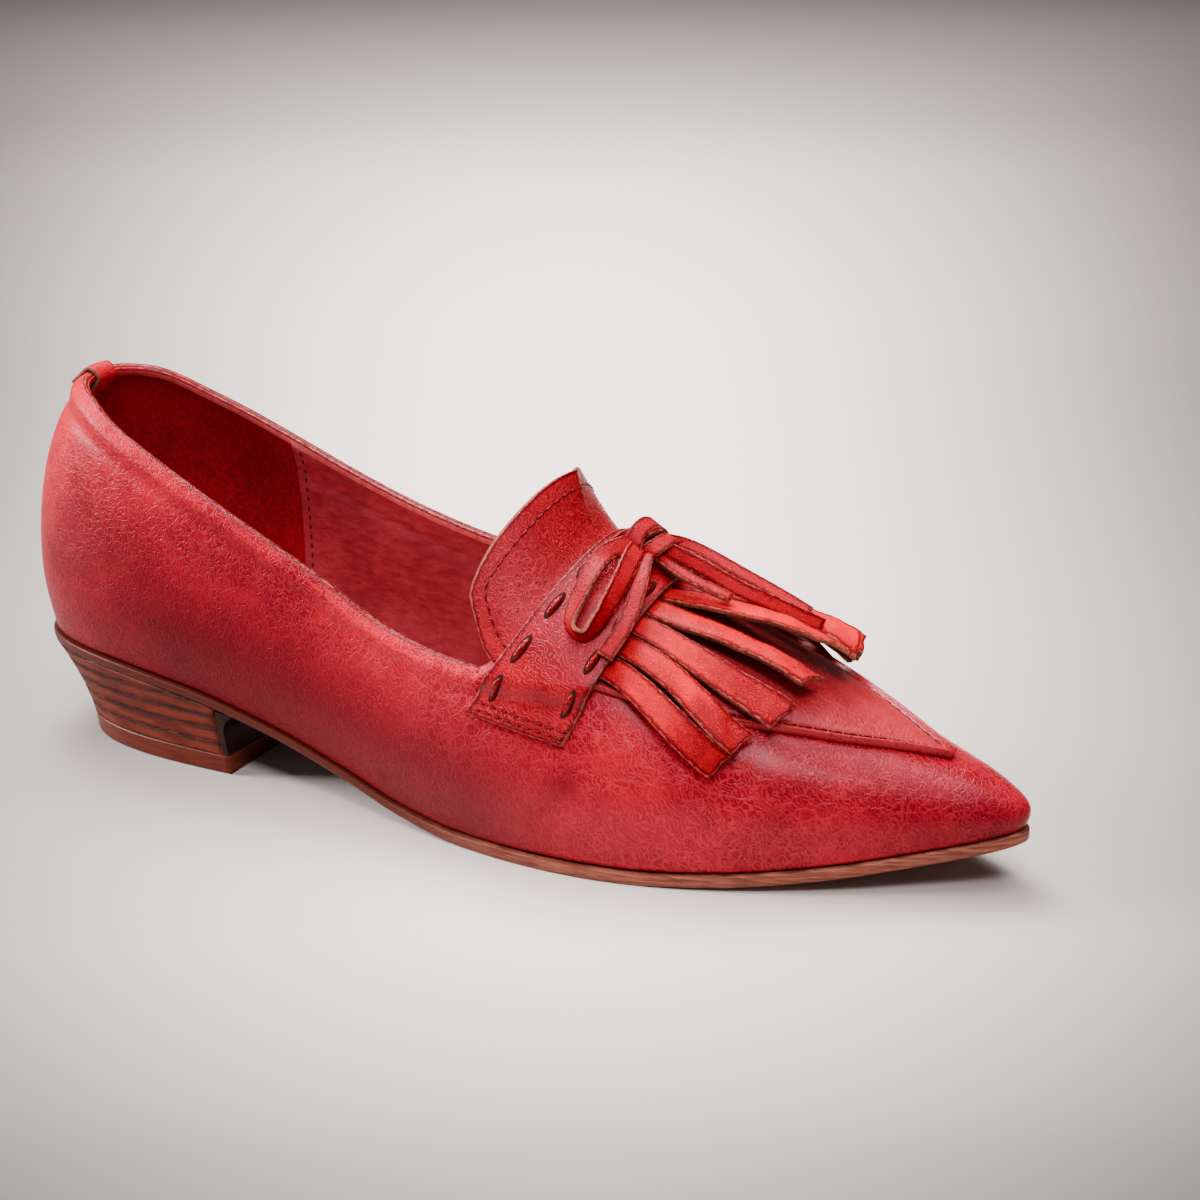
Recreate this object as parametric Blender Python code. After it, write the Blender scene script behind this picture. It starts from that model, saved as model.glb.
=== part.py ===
"""A tassel loafer, the right shoe of a pair, built the way a shoemaker builds one.

Frame: +X points to the toe, -Y to the outer side of the foot, +Z up. The origin is the middle
of the heel's ground face. The last, the form a shoe is pulled over, is worked out first from a
few sizes. Every piece is then cut from the last at its own depth, so neighbours follow each
other. Lengths along the shoe are measured from the back of the sole's outline.
"""
import math

import bmesh
import bpy
import numpy as np

# Driving sizes, in metres
SHOE_LENGTH = 0.260
BALL_WIDTH = 0.080
INSTEP_HEIGHT = 0.070
HEEL_HEIGHT = 0.0248
TOE_SPRING = 0.0115
TOE_SWING = 0.004
UPPER_WALL = 0.0018
COLLAR_ROLL = 0.0009
FOOT_ROUND = 0.0012
LASTING_MARGIN = 0.0060
SOLE_THICKNESS = 0.0030
SOLE_PROUD = 0.0010
SOLE_BEVEL = 0.0004
INSOLE_THICKNESS = 0.0015
TOP_LIFT = 0.0050
HEEL_LIFTS = 5
HEEL_BASE_INSET = 0.0100
HEEL_BASE_LENGTH = 0.0530
HEEL_BASE_WIDTH = 0.0464
BREAST_FACING = 0.0017
BREAST_FILLET = 0.0070
BREAST_RUN_OUT = 0.0040
APRON_THICKNESS = 0.0010
APRON_GIRTH = 0.0365
LIP_HEIGHT = 0.0019
LIP_WIDTH = 0.0018
KILTIE_THICKNESS = 0.0015
KILTIE_HALF_GIRTH = 0.0325
KILTIE_BEHIND_EDGE = 0.0054
STRAP_THICKNESS = 0.0018
STRAP_EDGE_ROUND = 0.0005
STRAP_STEP_DOWN = (0.0030, 0.0095)
STRAP_WIDTH = 0.0180
STRAP_REACH_BACK = 0.0563
STRAP_REACH_FRONT = 0.0501
STRAP_SWEEP_BACK = 0.0150
STRAP_SWEEP_FRONT = 0.0082
TONGUE_THICKNESS = 0.0014
TONGUE_RISE = 0.0186
TONGUE_HALF_WIDTH = 0.0300
TONGUE_BASE_GIRTH = 0.0425
TONGUE_LEAN = 0.0070
TONGUE_SWEEP = 0.0190
TONGUE_FALL = 0.0195
TONGUE_HELD = 0.0048
TONGUE_BEND = 0.0045
FRINGE_STRIPS = 10
FRINGE_STRIP_WIDTH = 0.0061
FRINGE_START = 0.0006
FRINGE_REACH = 0.0390
FRINGE_CUT = 0.0035
THONG_WIDTH = 0.0050
THONG_THICKNESS = 0.0016
KNOT_LENGTH = 0.0150
KNOT_WIDTH = 0.0110
KNOT_HEIGHT = 0.0096
KNOT_PLACE = 0.0140
TAB_WIDTH = 0.0120
TAB_DROP = 0.0050
TAB_THICKNESS = 0.0010
GAP = 0.0003

# Where things stand along the shoe, as shares of its length
HEEL_FAN = 0.138
TOE_FAN = 0.954
THROAT_BACK = 0.540
THROAT_FRONT = 0.614
STRAP_BACK = 0.595
APRON_BACK = 0.628
APRON_TIP = 0.933
CROWN = 0.4  # how far the collar's rounded edge stands up, as a share of the wall

# Plain colours
RED = (0.42, 0.018, 0.020)
LINING_RED = (0.33, 0.016, 0.020)
RAW_RED = (0.44, 0.030, 0.026)
TAN = (0.22, 0.060, 0.038)
RUSSET = (0.15, 0.034, 0.022)
BROWN = (0.17, 0.036, 0.024)

HEEL_CENTRE = HEEL_BASE_INSET + HEEL_BASE_LENGTH / 2
HEEL_FRONT = HEEL_BASE_INSET + HEEL_BASE_LENGTH

# How the layers over the instep lie above the last's skin
KILTIE_UNDER = GAP + APRON_THICKNESS + GAP
KILTIE_OVER = KILTIE_UNDER + KILTIE_THICKNESS
STRAP_UNDER = KILTIE_OVER + GAP
STRAP_OVER = STRAP_UNDER + STRAP_THICKNESS

# How finely the pieces are drawn
FAN_RAYS = 9
TOE_RAYS = 6
QUARTER_STEPS = 13
THROAT_STEPS = 5
VAMP_STEPS = 12
OUTER_ROWS = (0.03, 0.11, 0.21, 0.32, 0.45, 0.58, 0.70, 0.81, 0.91, 1.0)
INNER_ROWS = (0.09, 0.18, 0.30, 0.44, 0.60, 0.76, 0.90, 1.0)


def table(columns, *rows):
    """The columns of a table by name, from its rows."""
    return dict(zip(columns.split(), np.array(rows, float).T))


# The sole's outline: half widths to each side, as shares of the ball width
OUTLINE = table(
    "along outer inner",
    (0.000, 0.000, 0.000),
    (0.008, 0.130, 0.130),
    (0.035, 0.222, 0.222),
    (0.080, 0.285, 0.280),
    (0.150, 0.322, 0.310),
    (0.230, 0.332, 0.300),
    (0.320, 0.338, 0.275),
    (0.410, 0.362, 0.268),
    (0.500, 0.415, 0.305),
    (0.580, 0.455, 0.374),
    (0.650, 0.458, 0.432),
    (0.720, 0.420, 0.446),
    (0.800, 0.338, 0.393),
    (0.880, 0.232, 0.289),
    (0.940, 0.140, 0.180),
    (0.982, 0.070, 0.088),
    (1.000, 0.000, 0.000),
)

# The sole's underside above the floor, as shares of heel height and toe spring, and how much
# of the sole's thickness is left
PROFILE = table(
    "along heel spring sole",
    (0.00, 1.000, 0.00, 0.80),
    (0.10, 0.955, 0.00, 0.80),
    (0.20, 0.840, 0.00, 0.80),
    (0.30, 0.605, 0.00, 0.76),
    (0.38, 0.340, 0.00, 0.78),
    (0.45, 0.110, 0.00, 0.85),
    (0.51, 0.015, 0.00, 0.95),
    (0.56, 0.000, 0.00, 1.00),
    (0.68, 0.000, 0.00, 1.00),
    (0.76, 0.000, 0.07, 1.00),
    (0.84, 0.000, 0.27, 1.00),
    (0.92, 0.000, 0.60, 1.00),
    (1.00, 0.000, 1.00, 1.00),
)

# The last's sections: height of the ridge as a share of the instep height, how far each side
# swells past the sole's edge as a share of the ball width, where it is widest as a share of
# the section's height, and how full the curve over the foot is (2 is an ellipse)
SECTIONS = table(
    "along ridge outer_swell inner_swell widest fullness",
    (0.00, 1.520, 0.030, 0.030, 0.24, 2.00),
    (0.15, 1.500, 0.050, 0.050, 0.24, 2.10),
    (0.30, 1.400, 0.055, 0.067, 0.24, 2.20),
    (0.42, 1.240, 0.050, 0.077, 0.24, 2.10),
    (0.52, 1.080, 0.045, 0.067, 0.24, 2.00),
    (0.60, 0.930, 0.040, 0.052, 0.26, 1.90),
    (0.70, 0.760, 0.033, 0.038, 0.28, 1.90),
    (0.80, 0.600, 0.025, 0.028, 0.30, 1.95),
    (0.90, 0.455, 0.020, 0.020, 0.32, 2.00),
    (1.00, 0.330, 0.013, 0.013, 0.36, 2.20),
)

# The collar's height above the floor, as shares of the instep height
TOPLINE = table(
    "along outer inner",
    (0.00, 1.335, 1.335),
    (0.06, 1.300, 1.300),
    (0.13, 1.220, 1.200),
    (0.20, 1.115, 1.085),
    (0.28, 0.985, 0.965),
    (0.36, 0.850, 0.870),
    (0.44, 0.715, 0.800),
    (0.50, 0.665, 0.765),
    (0.54, 0.650, 0.750),
)

# The apron's half girth from the ridge, as a share of its girth at the strap
APRON = table(
    "along girth",
    (0.620, 1.000),
    (0.680, 0.895),
    (0.780, 0.610),
    (0.816, 0.480),
    (0.855, 0.340),
    (0.890, 0.200),
    (0.916, 0.100),
    (0.933, 0.030),
)

# One row for each strip of the fringe, outer side first: where it ends, as a share of the
# fringe's reach and of the kiltie's half girth, and its lift at the middle and at the end,
# as shares of the kiltie's thickness
FRINGE = table(
    "reach girth middle end",
    (0.66, -1.08, 1.55, 0.35),
    (0.75, -0.84, 1.35, 0.90),
    (0.90, -0.58, 0.90, 1.00),
    (0.96, -0.22, 1.50, 1.90),
    (1.00, 0.05, 3.10, 3.90),
    (1.01, 0.27, 3.20, 4.10),
    (0.98, 0.48, 2.50, 3.20),
    (0.92, 0.68, 1.80, 2.10),
    (0.84, 0.88, 1.40, 1.20),
    (0.70, 1.09, 1.50, 0.45),
)


class Curve:
    """A smooth curve through the rows of a table, bending as evenly as it can."""

    def __init__(self, x, y):
        self.x, self.y = np.asarray(x, float), np.asarray(y, float)
        rows = len(self.x)
        step = np.diff(self.x)
        rise = np.diff(self.y) / step
        matrix, wanted = np.eye(rows), np.zeros(rows)
        for i in range(1, rows - 1):
            matrix[i, i - 1:i + 2] = step[i - 1], 2 * (step[i - 1] + step[i]), step[i]
            wanted[i] = 6 * (rise[i] - rise[i - 1])
        self.bend, self.step = np.linalg.solve(matrix, wanted), step

    def __call__(self, q):
        i = np.clip(np.searchsorted(self.x, q, side="right") - 1, 0, len(self.x) - 2)
        h, a, b = self.step[i], self.x[i + 1] - q, q - self.x[i]
        curved = (self.bend[i] * a ** 3 + self.bend[i + 1] * b ** 3) / (6 * h)
        before = (self.y[i] / h - self.bend[i] * h / 6) * a
        after = (self.y[i + 1] / h - self.bend[i + 1] * h / 6) * b
        return curved + before + after


class SteadyCurve:
    """A smooth curve that never swings past the rows of its table, so level stretches stay level."""

    def __init__(self, x, y):
        self.x, self.y = np.asarray(x, float), np.asarray(y, float)
        self.step = np.diff(self.x)
        rise = np.diff(self.y) / self.step
        self.slope = np.zeros_like(self.y)
        for i in range(1, len(self.x) - 1):
            if rise[i - 1] * rise[i] > 0:
                a, b = 2 * self.step[i] + self.step[i - 1], self.step[i] + 2 * self.step[i - 1]
                self.slope[i] = (a + b) / (a / rise[i - 1] + b / rise[i])
        self.slope[0], self.slope[-1] = rise[0], rise[-1]

    def __call__(self, q):
        i = np.clip(np.searchsorted(self.x, q, side="right") - 1, 0, len(self.step) - 1)
        h = self.step[i]
        t = np.clip((q - self.x[i]) / h, 0, 1)
        start = (2 * t ** 3 - 3 * t ** 2 + 1) * self.y[i] + (t ** 3 - 2 * t ** 2 + t) * h * self.slope[i]
        return start + (3 * t ** 2 - 2 * t ** 3) * self.y[i + 1] + (t ** 3 - t ** 2) * h * self.slope[i + 1]


def curves(source, kind):
    """A curve for each column of a table, over its first column."""
    along = source["along"]
    return {name: kind(along, column) for name, column in source.items() if name != "along"}


profile = curves(PROFILE, SteadyCurve)
sections = curves(SECTIONS, Curve)
topline = curves(TOPLINE, SteadyCurve)
apron_girth = Curve(APRON["along"], APRON["girth"])
SIDES = {-1: "outer", 1: "inner"}


def share(x):
    """How far along the shoe a length from its back is."""
    return np.clip(x / SHOE_LENGTH, 0, 1)


def swing(x):
    """How far the shoe's middle line has turned to the inner side."""
    return TOE_SWING * share(x) ** 3


def under_sole(x):
    """Height of the outsole's underside."""
    return HEEL_HEIGHT * profile["heel"](share(x)) + TOE_SPRING * profile["spring"](share(x))


def over_sole(x):
    """Height of the outsole's upper face."""
    return under_sole(x) + SOLE_THICKNESS * profile["sole"](share(x))


def feather(x):
    """Height at which the upper stands on the sole."""
    return over_sole(x) + GAP


def full_outline():
    """The sole's outline for each side, as many points from the back to the toe."""
    outer = np.c_[OUTLINE["along"] * SHOE_LENGTH, -OUTLINE["outer"] * BALL_WIDTH]
    inner = np.c_[OUTLINE["along"] * SHOE_LENGTH, OUTLINE["inner"] * BALL_WIDTH]
    loop = np.concatenate([outer, inner[::-1][1:-1]])
    loop[:, 1] += swing(loop[:, 0])
    around = np.concatenate([loop[-4:], loop, loop[:5]])
    pace = np.concatenate([[0], np.cumsum(np.linalg.norm(np.diff(around, axis=0), axis=1) ** 0.75)])
    t = np.linspace(pace[4], pace[4 + len(loop)], 4001)
    drawn = np.c_[Curve(pace, around[:, 0])(t), Curve(pace, around[:, 1])(t)]
    back, toe = 0, int(np.argmax(drawn[:, 0]))
    return {-1: drawn[back:toe + 1], 1: drawn[toe:][::-1]}


outline = full_outline()


def edge(side, spine, turn):
    """The point of the outline that a column faces: straight sideways, or turned in a fan."""
    drawn = outline[side]
    if turn == 0:
        return np.array([spine, np.interp(spine, drawn[:, 0], drawn[:, 1])])
    away = drawn - (spine, swing(spine))
    faced = np.arctan2(away[:, 0], side * away[:, 1])
    keep = away[:, 0] * turn >= 0
    order = np.argsort(faced[keep])
    return np.array([np.interp(turn, faced[keep][order], drawn[keep][order, k]) for k in range(2)])


def facing(side, turn):
    """The level direction that a column faces."""
    return np.array([math.sin(turn), side * math.cos(turn)])


def section(side, spine, turn, v):
    """Points of the last's skin up one column: v is 0 at the feather edge and 1 on the ridge."""
    x, y = edge(side, spine, turn)
    middle = np.array([spine, swing(spine)])
    radius = np.linalg.norm((x, y) - middle)
    swell = BALL_WIDTH * sections[SIDES[side] + "_swell"](share(x))
    ridge = INSTEP_HEIGHT * sections["ridge"](share(spine))
    foot = feather(x)
    low = sections["widest"](share(spine)) * (ridge - foot)
    power = 2 / sections["fullness"](share(spine))
    v = np.asarray(v, float)
    below = np.clip(v / 0.25, 0, 1)
    above = np.clip((v - 0.25) / 0.75, 0, 1) * math.pi / 2
    side_wall = v < 0.25
    side_out = radius + swell * np.sin(below * math.pi / 2)
    over_out = (radius + swell) * np.cos(above) ** power
    out = np.where(side_wall, side_out, over_out)
    over_height = foot + low + (ridge - foot - low) * np.sin(above) ** power
    height = np.where(side_wall, foot + low * below, over_height)
    dx, dy = facing(side, turn)
    points = np.stack([spine + dx * out, middle[1] + dy * out, height], -1)
    if turn > 0:
        step = 0.001
        fall = (ridge - INSTEP_HEIGHT * sections["ridge"](share(spine - step))) / step
        points[..., 2] += fall * (points[..., 0] - spine) * ((height - foot) / (ridge - foot)) ** 2
    return points


def skin_normal(side, spine, turn, v):
    """The direction out of the last at a point of a column."""
    step, turn_step = (0.0004, 0) if turn == 0 else (0, 0.008)
    ahead = section(side, spine + step, turn + turn_step, v)
    along = ahead - section(side, spine - step, turn - turn_step, v)
    up = section(side, spine, turn, min(v + 0.004, 1)) - section(side, spine, turn, max(v - 0.004, 0))
    normal = np.cross(along, up) * -side
    length = np.linalg.norm(normal)
    return normal / length if length > 1e-14 else np.array([0, 0, 1.0])


GIRTH_STEPS = np.linspace(0, 1, 121)
girth_lines = {}


def girth_line(x):
    """The last's section at one length: its points, and each one's girth from the ridge."""
    key = round(float(x), 6)
    if key not in girth_lines:
        outer = section(-1, key, 0, GIRTH_STEPS)
        inner = section(1, key, 0, GIRTH_STEPS)
        points = np.concatenate([outer, inner[::-1][1:]])
        girth = np.concatenate([[0], np.cumsum(np.linalg.norm(np.diff(points, axis=0), axis=1))])
        girth_lines[key] = (points, girth - girth[len(GIRTH_STEPS) - 1])
    return girth_lines[key]


def on_skin(x, girth):
    """The last's skin at a length along it and a girth from the ridge; the outer side is negative."""
    points, along = girth_line(x)
    return np.array([np.interp(girth, along, points[:, k]) for k in range(3)])


def over_skin(x, girth, height):
    """A point at a height above the last's skin."""
    step = 0.001
    forward = on_skin(x + step, girth) - on_skin(x - step, girth)
    across = on_skin(x, girth + step) - on_skin(x, girth - step)
    normal = np.cross(forward, across)
    return on_skin(x, girth) + height * normal / np.linalg.norm(normal)


def finish(name, color, roughness):
    """A plain material with the piece's colour."""
    material = bpy.data.materials.new(name)
    material.use_nodes = True
    shader = material.node_tree.nodes["Principled BSDF"]
    shader.inputs["Base Color"].default_value = (*color, 1)
    shader.inputs["Roughness"].default_value = roughness
    return material


def drawn_faces(points, faces):
    """A mesh under construction, from points measured from the back of the sole."""
    bm = bmesh.new()
    verts = [bm.verts.new((p[0] - HEEL_CENTRE, p[1], p[2])) for p in points]
    for face in faces:
        corners = [v for i, v in enumerate(face) if v != face[i - 1]]
        if len(corners) > 2:
            bm.faces.new([verts[v] for v in corners])
    bmesh.ops.delete(bm, geom=[v for v in bm.verts if not v.link_faces], context="VERTS")
    turn_outwards(bm)
    return bm


def turn_outwards(bm):
    """Make every face of a closed body point out of it."""
    bmesh.ops.recalc_face_normals(bm, faces=bm.faces)
    if bm.calc_volume(signed=True) < 0:
        bmesh.ops.reverse_faces(bm, faces=bm.faces)


def finished(name, bm, material, crease=35):
    """An object from a mesh under construction."""
    mesh = bpy.data.meshes.new(name)
    bm.to_mesh(mesh)
    bm.free()
    mesh.shade_smooth()
    mesh.set_sharp_from_angle(angle=math.radians(crease))
    mesh.materials.append(material)
    item = bpy.data.objects.new(name, mesh)
    bpy.context.collection.objects.link(item)
    return item


def piece(name, points, faces, material, crease=35):
    """An object from points and faces, with its faces turned outwards."""
    return finished(name, drawn_faces(points, faces), material, crease)


def slab(name, top, under, material, leather=None):
    """A closed sheet between two grids of points; leather says which squares are not cut out."""
    rows, columns = top.shape[:2]
    if leather is None:
        leather = np.ones((rows - 1, columns - 1), bool)

    def at(i, j, below):
        return below * rows * columns + i * columns + j

    faces, rims = [], {}
    for i, j in zip(*np.nonzero(leather)):
        corners = [(i, j), (i + 1, j), (i + 1, j + 1), (i, j + 1)]
        faces.append([at(*c, 0) for c in corners])
        faces.append([at(*c, 1) for c in corners[::-1]])
        for a, b in zip(corners, corners[1:] + corners[:1]):
            if (b, a) in rims:
                del rims[(b, a)]
            else:
                rims[(a, b)] = True
    for a, b in rims:
        faces.append([at(*b, 0), at(*a, 0), at(*a, 1), at(*b, 1)])
    points = np.concatenate([top.reshape(-1, 3), under.reshape(-1, 3)])
    return piece(name, points, faces, material)


def walls_between(rings):
    """The faces between loops with as many points each, one loop above another."""
    count = len(rings[0])
    faces = []
    for base in range(0, (len(rings) - 1) * count, count):
        for i in range(count):
            k = (i + 1) % count
            faces.append([base + i, base + k, base + count + k, base + count + i])
    return faces


def ring_stack(name, rings, material):
    """A closed solid from loops that run from the back round the outer side, with ends filled."""
    count = len(rings[0])
    faces = walls_between(rings)
    for base in (0, (len(rings) - 1) * count):
        for i in range(count // 2):
            across = [base + (count - i - 1) % count, base + (count - i) % count]
            faces.append([base + i, base + i + 1, *across])
    return piece(name, np.concatenate(rings), faces, material)


def columns_of_a_side(side):
    """The upper's columns on one side, from the back to the toe: spine, turn, share of height."""
    fan, toe = HEEL_FAN * SHOE_LENGTH, TOE_FAN * SHOE_LENGTH
    back, front = THROAT_BACK * SHOE_LENGTH, THROAT_FRONT * SHOE_LENGTH
    places = [(fan, -math.pi / 2 * (1 - k / FAN_RAYS)) for k in range(FAN_RAYS)]
    places += [(x, 0) for x in np.linspace(fan, back, QUARTER_STEPS + 1)]
    found = [(spine, turn, collar_share(side, spine, turn)) for spine, turn in places]
    start = found[-1][2]
    for k in range(1, THROAT_STEPS + 1):
        climb = k / THROAT_STEPS
        x = back + (front - back) * math.sin(climb * math.pi / 2) ** 0.8
        found.append((x, 0, start + (1 - start) * climb))
    found += [(x, 0, 1) for x in np.linspace(front, toe, VAMP_STEPS + 1)[1:]]
    found += [(toe, math.pi / 2 * k / TOE_RAYS, 1) for k in range(1, TOE_RAYS + 1)]
    return found


def collar_share(side, spine, turn):
    """How far up its column the wall goes to reach the collar's height."""
    v = np.linspace(0, 1, 201)
    heights = section(side, spine, turn, v)[:, 2]
    collar = INSTEP_HEIGHT * topline[SIDES[side]](share(edge(side, spine, turn)[0]))
    return float(np.interp(collar, heights, v))


def columns_all_round():
    """Both sides' columns as one loop: the back, the outer side, the toe, the inner side."""
    outer = [(-1, *c) for c in columns_of_a_side(-1)]
    inner = [(1, *c) for c in columns_of_a_side(1)]
    return outer + inner[1:-1][::-1]


def foot_point(side, spine, turn, inset, lift):
    """A point at the foot of a column, moved in from the outline and up from the feather edge."""
    place = edge(side, spine, turn) - inset * facing(side, turn)
    return np.array([*place, feather(place[0]) + lift])


def wall_at(drop):
    """The upper's thickness at a depth below the collar: it is rolled over at the edge."""
    return UPPER_WALL + COLLAR_ROLL * math.exp(-(drop / 0.0035) ** 2)


def wall_profile(side, spine, turn, top):
    """Outer and inner points of the upper's wall up one column."""
    radius = np.linalg.norm(edge(side, spine, turn) - (spine, swing(spine)))
    margin = min(LASTING_MARGIN, radius / 2)
    turned_in = ((margin, 0), (FOOT_ROUND, 0), (FOOT_ROUND / 4, FOOT_ROUND / 3))
    outer = [foot_point(side, spine, turn, inset, lift) for inset, lift in turned_in]
    inner = [foot_point(side, spine, turn, inset, UPPER_WALL) for inset in (margin, UPPER_WALL * 1.1)]
    outer += [section(side, spine, turn, top * row) for row in OUTER_ROWS]
    rim = outer[-1]
    for row in INNER_ROWS:
        point = section(side, spine, turn, top * row)
        wall = wall_at(np.linalg.norm(point - rim)) if top < 1 else UPPER_WALL
        inner.append(point - wall * skin_normal(side, spine, turn, top * row))
    return outer, inner


def upper(material):
    """The hollow upper: a wall round the foot, open at the collar and underneath."""
    columns = columns_all_round()
    points, shared, index = [], {}, []
    for side, spine, turn, top in columns:
        outer, inner = wall_profile(side, spine, turn, top)
        rise = outer[-1] - outer[-2]
        crown = (outer[-1] + inner[-1]) / 2 + rise / np.linalg.norm(rise) * UPPER_WALL * CROWN
        stack = [*outer, crown, *inner[::-1]]
        on_ridge = (len(outer) - 1, len(outer), len(outer) + 1)
        column = []
        for row, point in enumerate(stack):
            key = (row, round(spine, 6)) if top == 1 and row in on_ridge else None
            if key in shared:
                column.append(shared[key])
                continue
            if key:
                shared[key] = len(points)
            column.append(len(points))
            points.append(point)
        index.append(column)
    rim_rows = range(len(OUTER_ROWS) + 2, len(OUTER_ROWS) + 4)
    faces = []
    for i, column in enumerate(index):
        k = (i + 1) % len(index)
        closed = columns[i][3] == 1 and columns[k][3] == 1
        for row in range(len(column) - 1):
            if not (closed and row in rim_rows):
                faces.append([column[row], index[k][row], index[k][row + 1], column[row + 1]])
        faces.append([column[0], index[k][0], index[k][-1], column[-1]])
    return piece("upper", points, faces, material, crease=50)


def loop_at(inset, height):
    """A loop round the shoe, moved in from the outline, with its height as a function of length."""
    loop = []
    for side, spine, turn, _ in columns_all_round():
        radius = np.linalg.norm(edge(side, spine, turn) - (spine, swing(spine)))
        place = edge(side, spine, turn) - min(inset, radius * 0.75) * facing(side, turn)
        loop.append((*place, height(place[0])))
    return np.array(loop)


def outsole(material):
    """The sole, a little proud of the upper, with its lower edge rounded."""
    rings = [
        loop_at(SOLE_BEVEL - SOLE_PROUD, over_sole),
        loop_at(-SOLE_PROUD, lambda x: over_sole(x) - SOLE_BEVEL),
        loop_at(-SOLE_PROUD, lambda x: under_sole(x) + 2 * SOLE_BEVEL),
        loop_at(2 * SOLE_BEVEL - SOLE_PROUD, under_sole),
    ]
    return ring_stack("outsole", rings, material)


def insole(material):
    """The sock that the foot stands on: over the turned-in margin, and down to the sole inside it."""
    side_gap = UPPER_WALL + 2 * GAP
    step = LASTING_MARGIN + GAP
    rest = UPPER_WALL + GAP
    rings = [
        loop_at(side_gap + SOLE_BEVEL, lambda x: feather(x) + rest + INSOLE_THICKNESS),
        loop_at(side_gap, lambda x: feather(x) + rest + INSOLE_THICKNESS - SOLE_BEVEL),
        loop_at(side_gap, lambda x: feather(x) + rest),
        loop_at(step, lambda x: feather(x) + rest),
        loop_at(step, feather),
    ]
    return ring_stack("insole", rings, material)


def heel_columns():
    """The sole's columns from the outer corner of the heel's breast round the back to the inner one."""
    fan = HEEL_FAN * SHOE_LENGTH
    rays = [(fan, -math.pi / 2 * k / FAN_RAYS) for k in range(1, FAN_RAYS + 1)]
    straight = [(x, 0) for x in np.linspace(HEEL_FRONT, fan, 4)]
    outer = [(-1, *place) for place in straight + rays]
    return outer + [(1, *place) for place in (straight + rays)[:-1][::-1]]


def heel_corner(place, climb):
    """A point of the heel's side: climb is 0 on the ground and 1 at the seat."""
    side = place[0]
    seat = edge(*place) + (SOLE_PROUD - GAP) * facing(side, place[2])
    widest = abs(edge(side, HEEL_FRONT, 0)[1]) + SOLE_PROUD - GAP
    along = (seat[0] + SOLE_PROUD) / (HEEL_FRONT + SOLE_PROUD)
    base = np.array([HEEL_BASE_INSET + along * HEEL_BASE_LENGTH, seat[1] * HEEL_BASE_WIDTH / 2 / widest])
    spot = base + (seat - base) * climb ** 1.7
    return np.array([*spot, climb * (under_sole(seat[0]) - GAP)])


def heel_form():
    """The whole heel as rings from the ground to the seat."""
    places = heel_columns()
    return [np.array([heel_corner(place, climb) for place in places]) for climb in np.linspace(0, 1, 9)]


def heel_slice(name, bottom, top, front, material):
    """A layer of the heel between two levels, with its front cut square."""
    rings = heel_form()
    count = len(rings[0])
    faces = walls_between(rings)
    for base in (0, (len(rings) - 1) * count):
        for i in range(count // 2):
            faces.append([base + i, base + i + 1, base + count - i - 2, base + count - i - 1])
    bm = drawn_faces(np.concatenate(rings), faces)
    forward = front - HEEL_CENTRE
    cuts = [((0, 0, bottom), (0, 0, -1)), ((0, 0, top), (0, 0, 1)), ((forward, 0, 0), (1, 0, 0))]
    for place, away in cuts:
        geometry = bm.verts[:] + bm.edges[:] + bm.faces[:]
        bmesh.ops.bisect_plane(
            bm, geom=geometry, dist=1e-7, plane_co=place, plane_no=away, clear_outer=True
        )
        rims = [e for e in bm.edges if len(e.link_faces) == 1]
        if rims:
            bmesh.ops.edgeloop_fill(bm, edges=rims)
    bmesh.ops.dissolve_limit(bm, angle_limit=math.radians(0.5), verts=bm.verts, edges=bm.edges)
    turn_outwards(bm)
    return finished(name, bm, material)


def heel():
    """The top lift on the ground and the stacked lifts over it, level under a sloping seat."""
    past = GAP * 3
    heel_slice("top_lift", -past, TOP_LIFT, HEEL_FRONT + past, finish("top_lift_rubber", BROWN, 0.55))
    pitch = (HEEL_HEIGHT - TOP_LIFT) / HEEL_LIFTS
    for k in range(HEEL_LIFTS):
        name = f"heel_lift_{k + 1}"
        bottom = TOP_LIFT + GAP + k * pitch
        top = TOP_LIFT + (k + 1) * pitch
        front = HEEL_FRONT - BREAST_FACING - GAP
        heel_slice(name, bottom, top, front, finish(name + "_leather", RUSSET, 0.62))


def heel_breast_facing(material):
    """The leather that covers the heel's breast and runs out along the waist of the sole."""
    back = HEEL_FRONT - BREAST_FACING
    foot = TOP_LIFT + GAP

    def ceiling(x):
        return under_sole(x) - 1.5 * GAP

    centre = np.array([HEEL_FRONT + BREAST_FILLET, ceiling(HEEL_FRONT) - BREAST_FILLET])
    front, rear = [(HEEL_FRONT, foot)], [(back, foot)]
    run = ceiling(back) - foot
    for k in range(7):
        angle = math.pi - math.radians(66) * k / 6
        turned = centre + BREAST_FILLET * np.array([math.cos(angle), math.sin(angle)])
        front.append(tuple(turned))
        x = back + max(turned[0] - HEEL_FRONT - GAP, 0) * 1.25
        rear.append((x, min(foot + run * min(1, (k + 1) / 4), ceiling(x))))
    end = front[-1][0] + BREAST_RUN_OUT
    front.append((end, ceiling(end) - GAP))
    rear.append((end + GAP, ceiling(end)))

    def row(x, z):
        climb = min(1, z / ceiling(HEEL_FRONT))
        spread = min(1, max(0, (x - HEEL_FRONT) / BREAST_FILLET))
        ends = []
        for side in (-1, 1):
            corner = heel_corner((side, HEEL_FRONT, 0), climb)[1]
            reach = edge(side, max(x, HEEL_FRONT), 0)[1] * 0.93
            ends.append(corner + (reach - corner) * spread)
        return [np.array([x, y, z]) for y in np.linspace(*ends, 5)]

    top = np.array([row(*spot) for spot in front])
    under = np.array([row(*spot) for spot in rear])
    return slab("heel_breast_facing", top, under, material)


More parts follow.
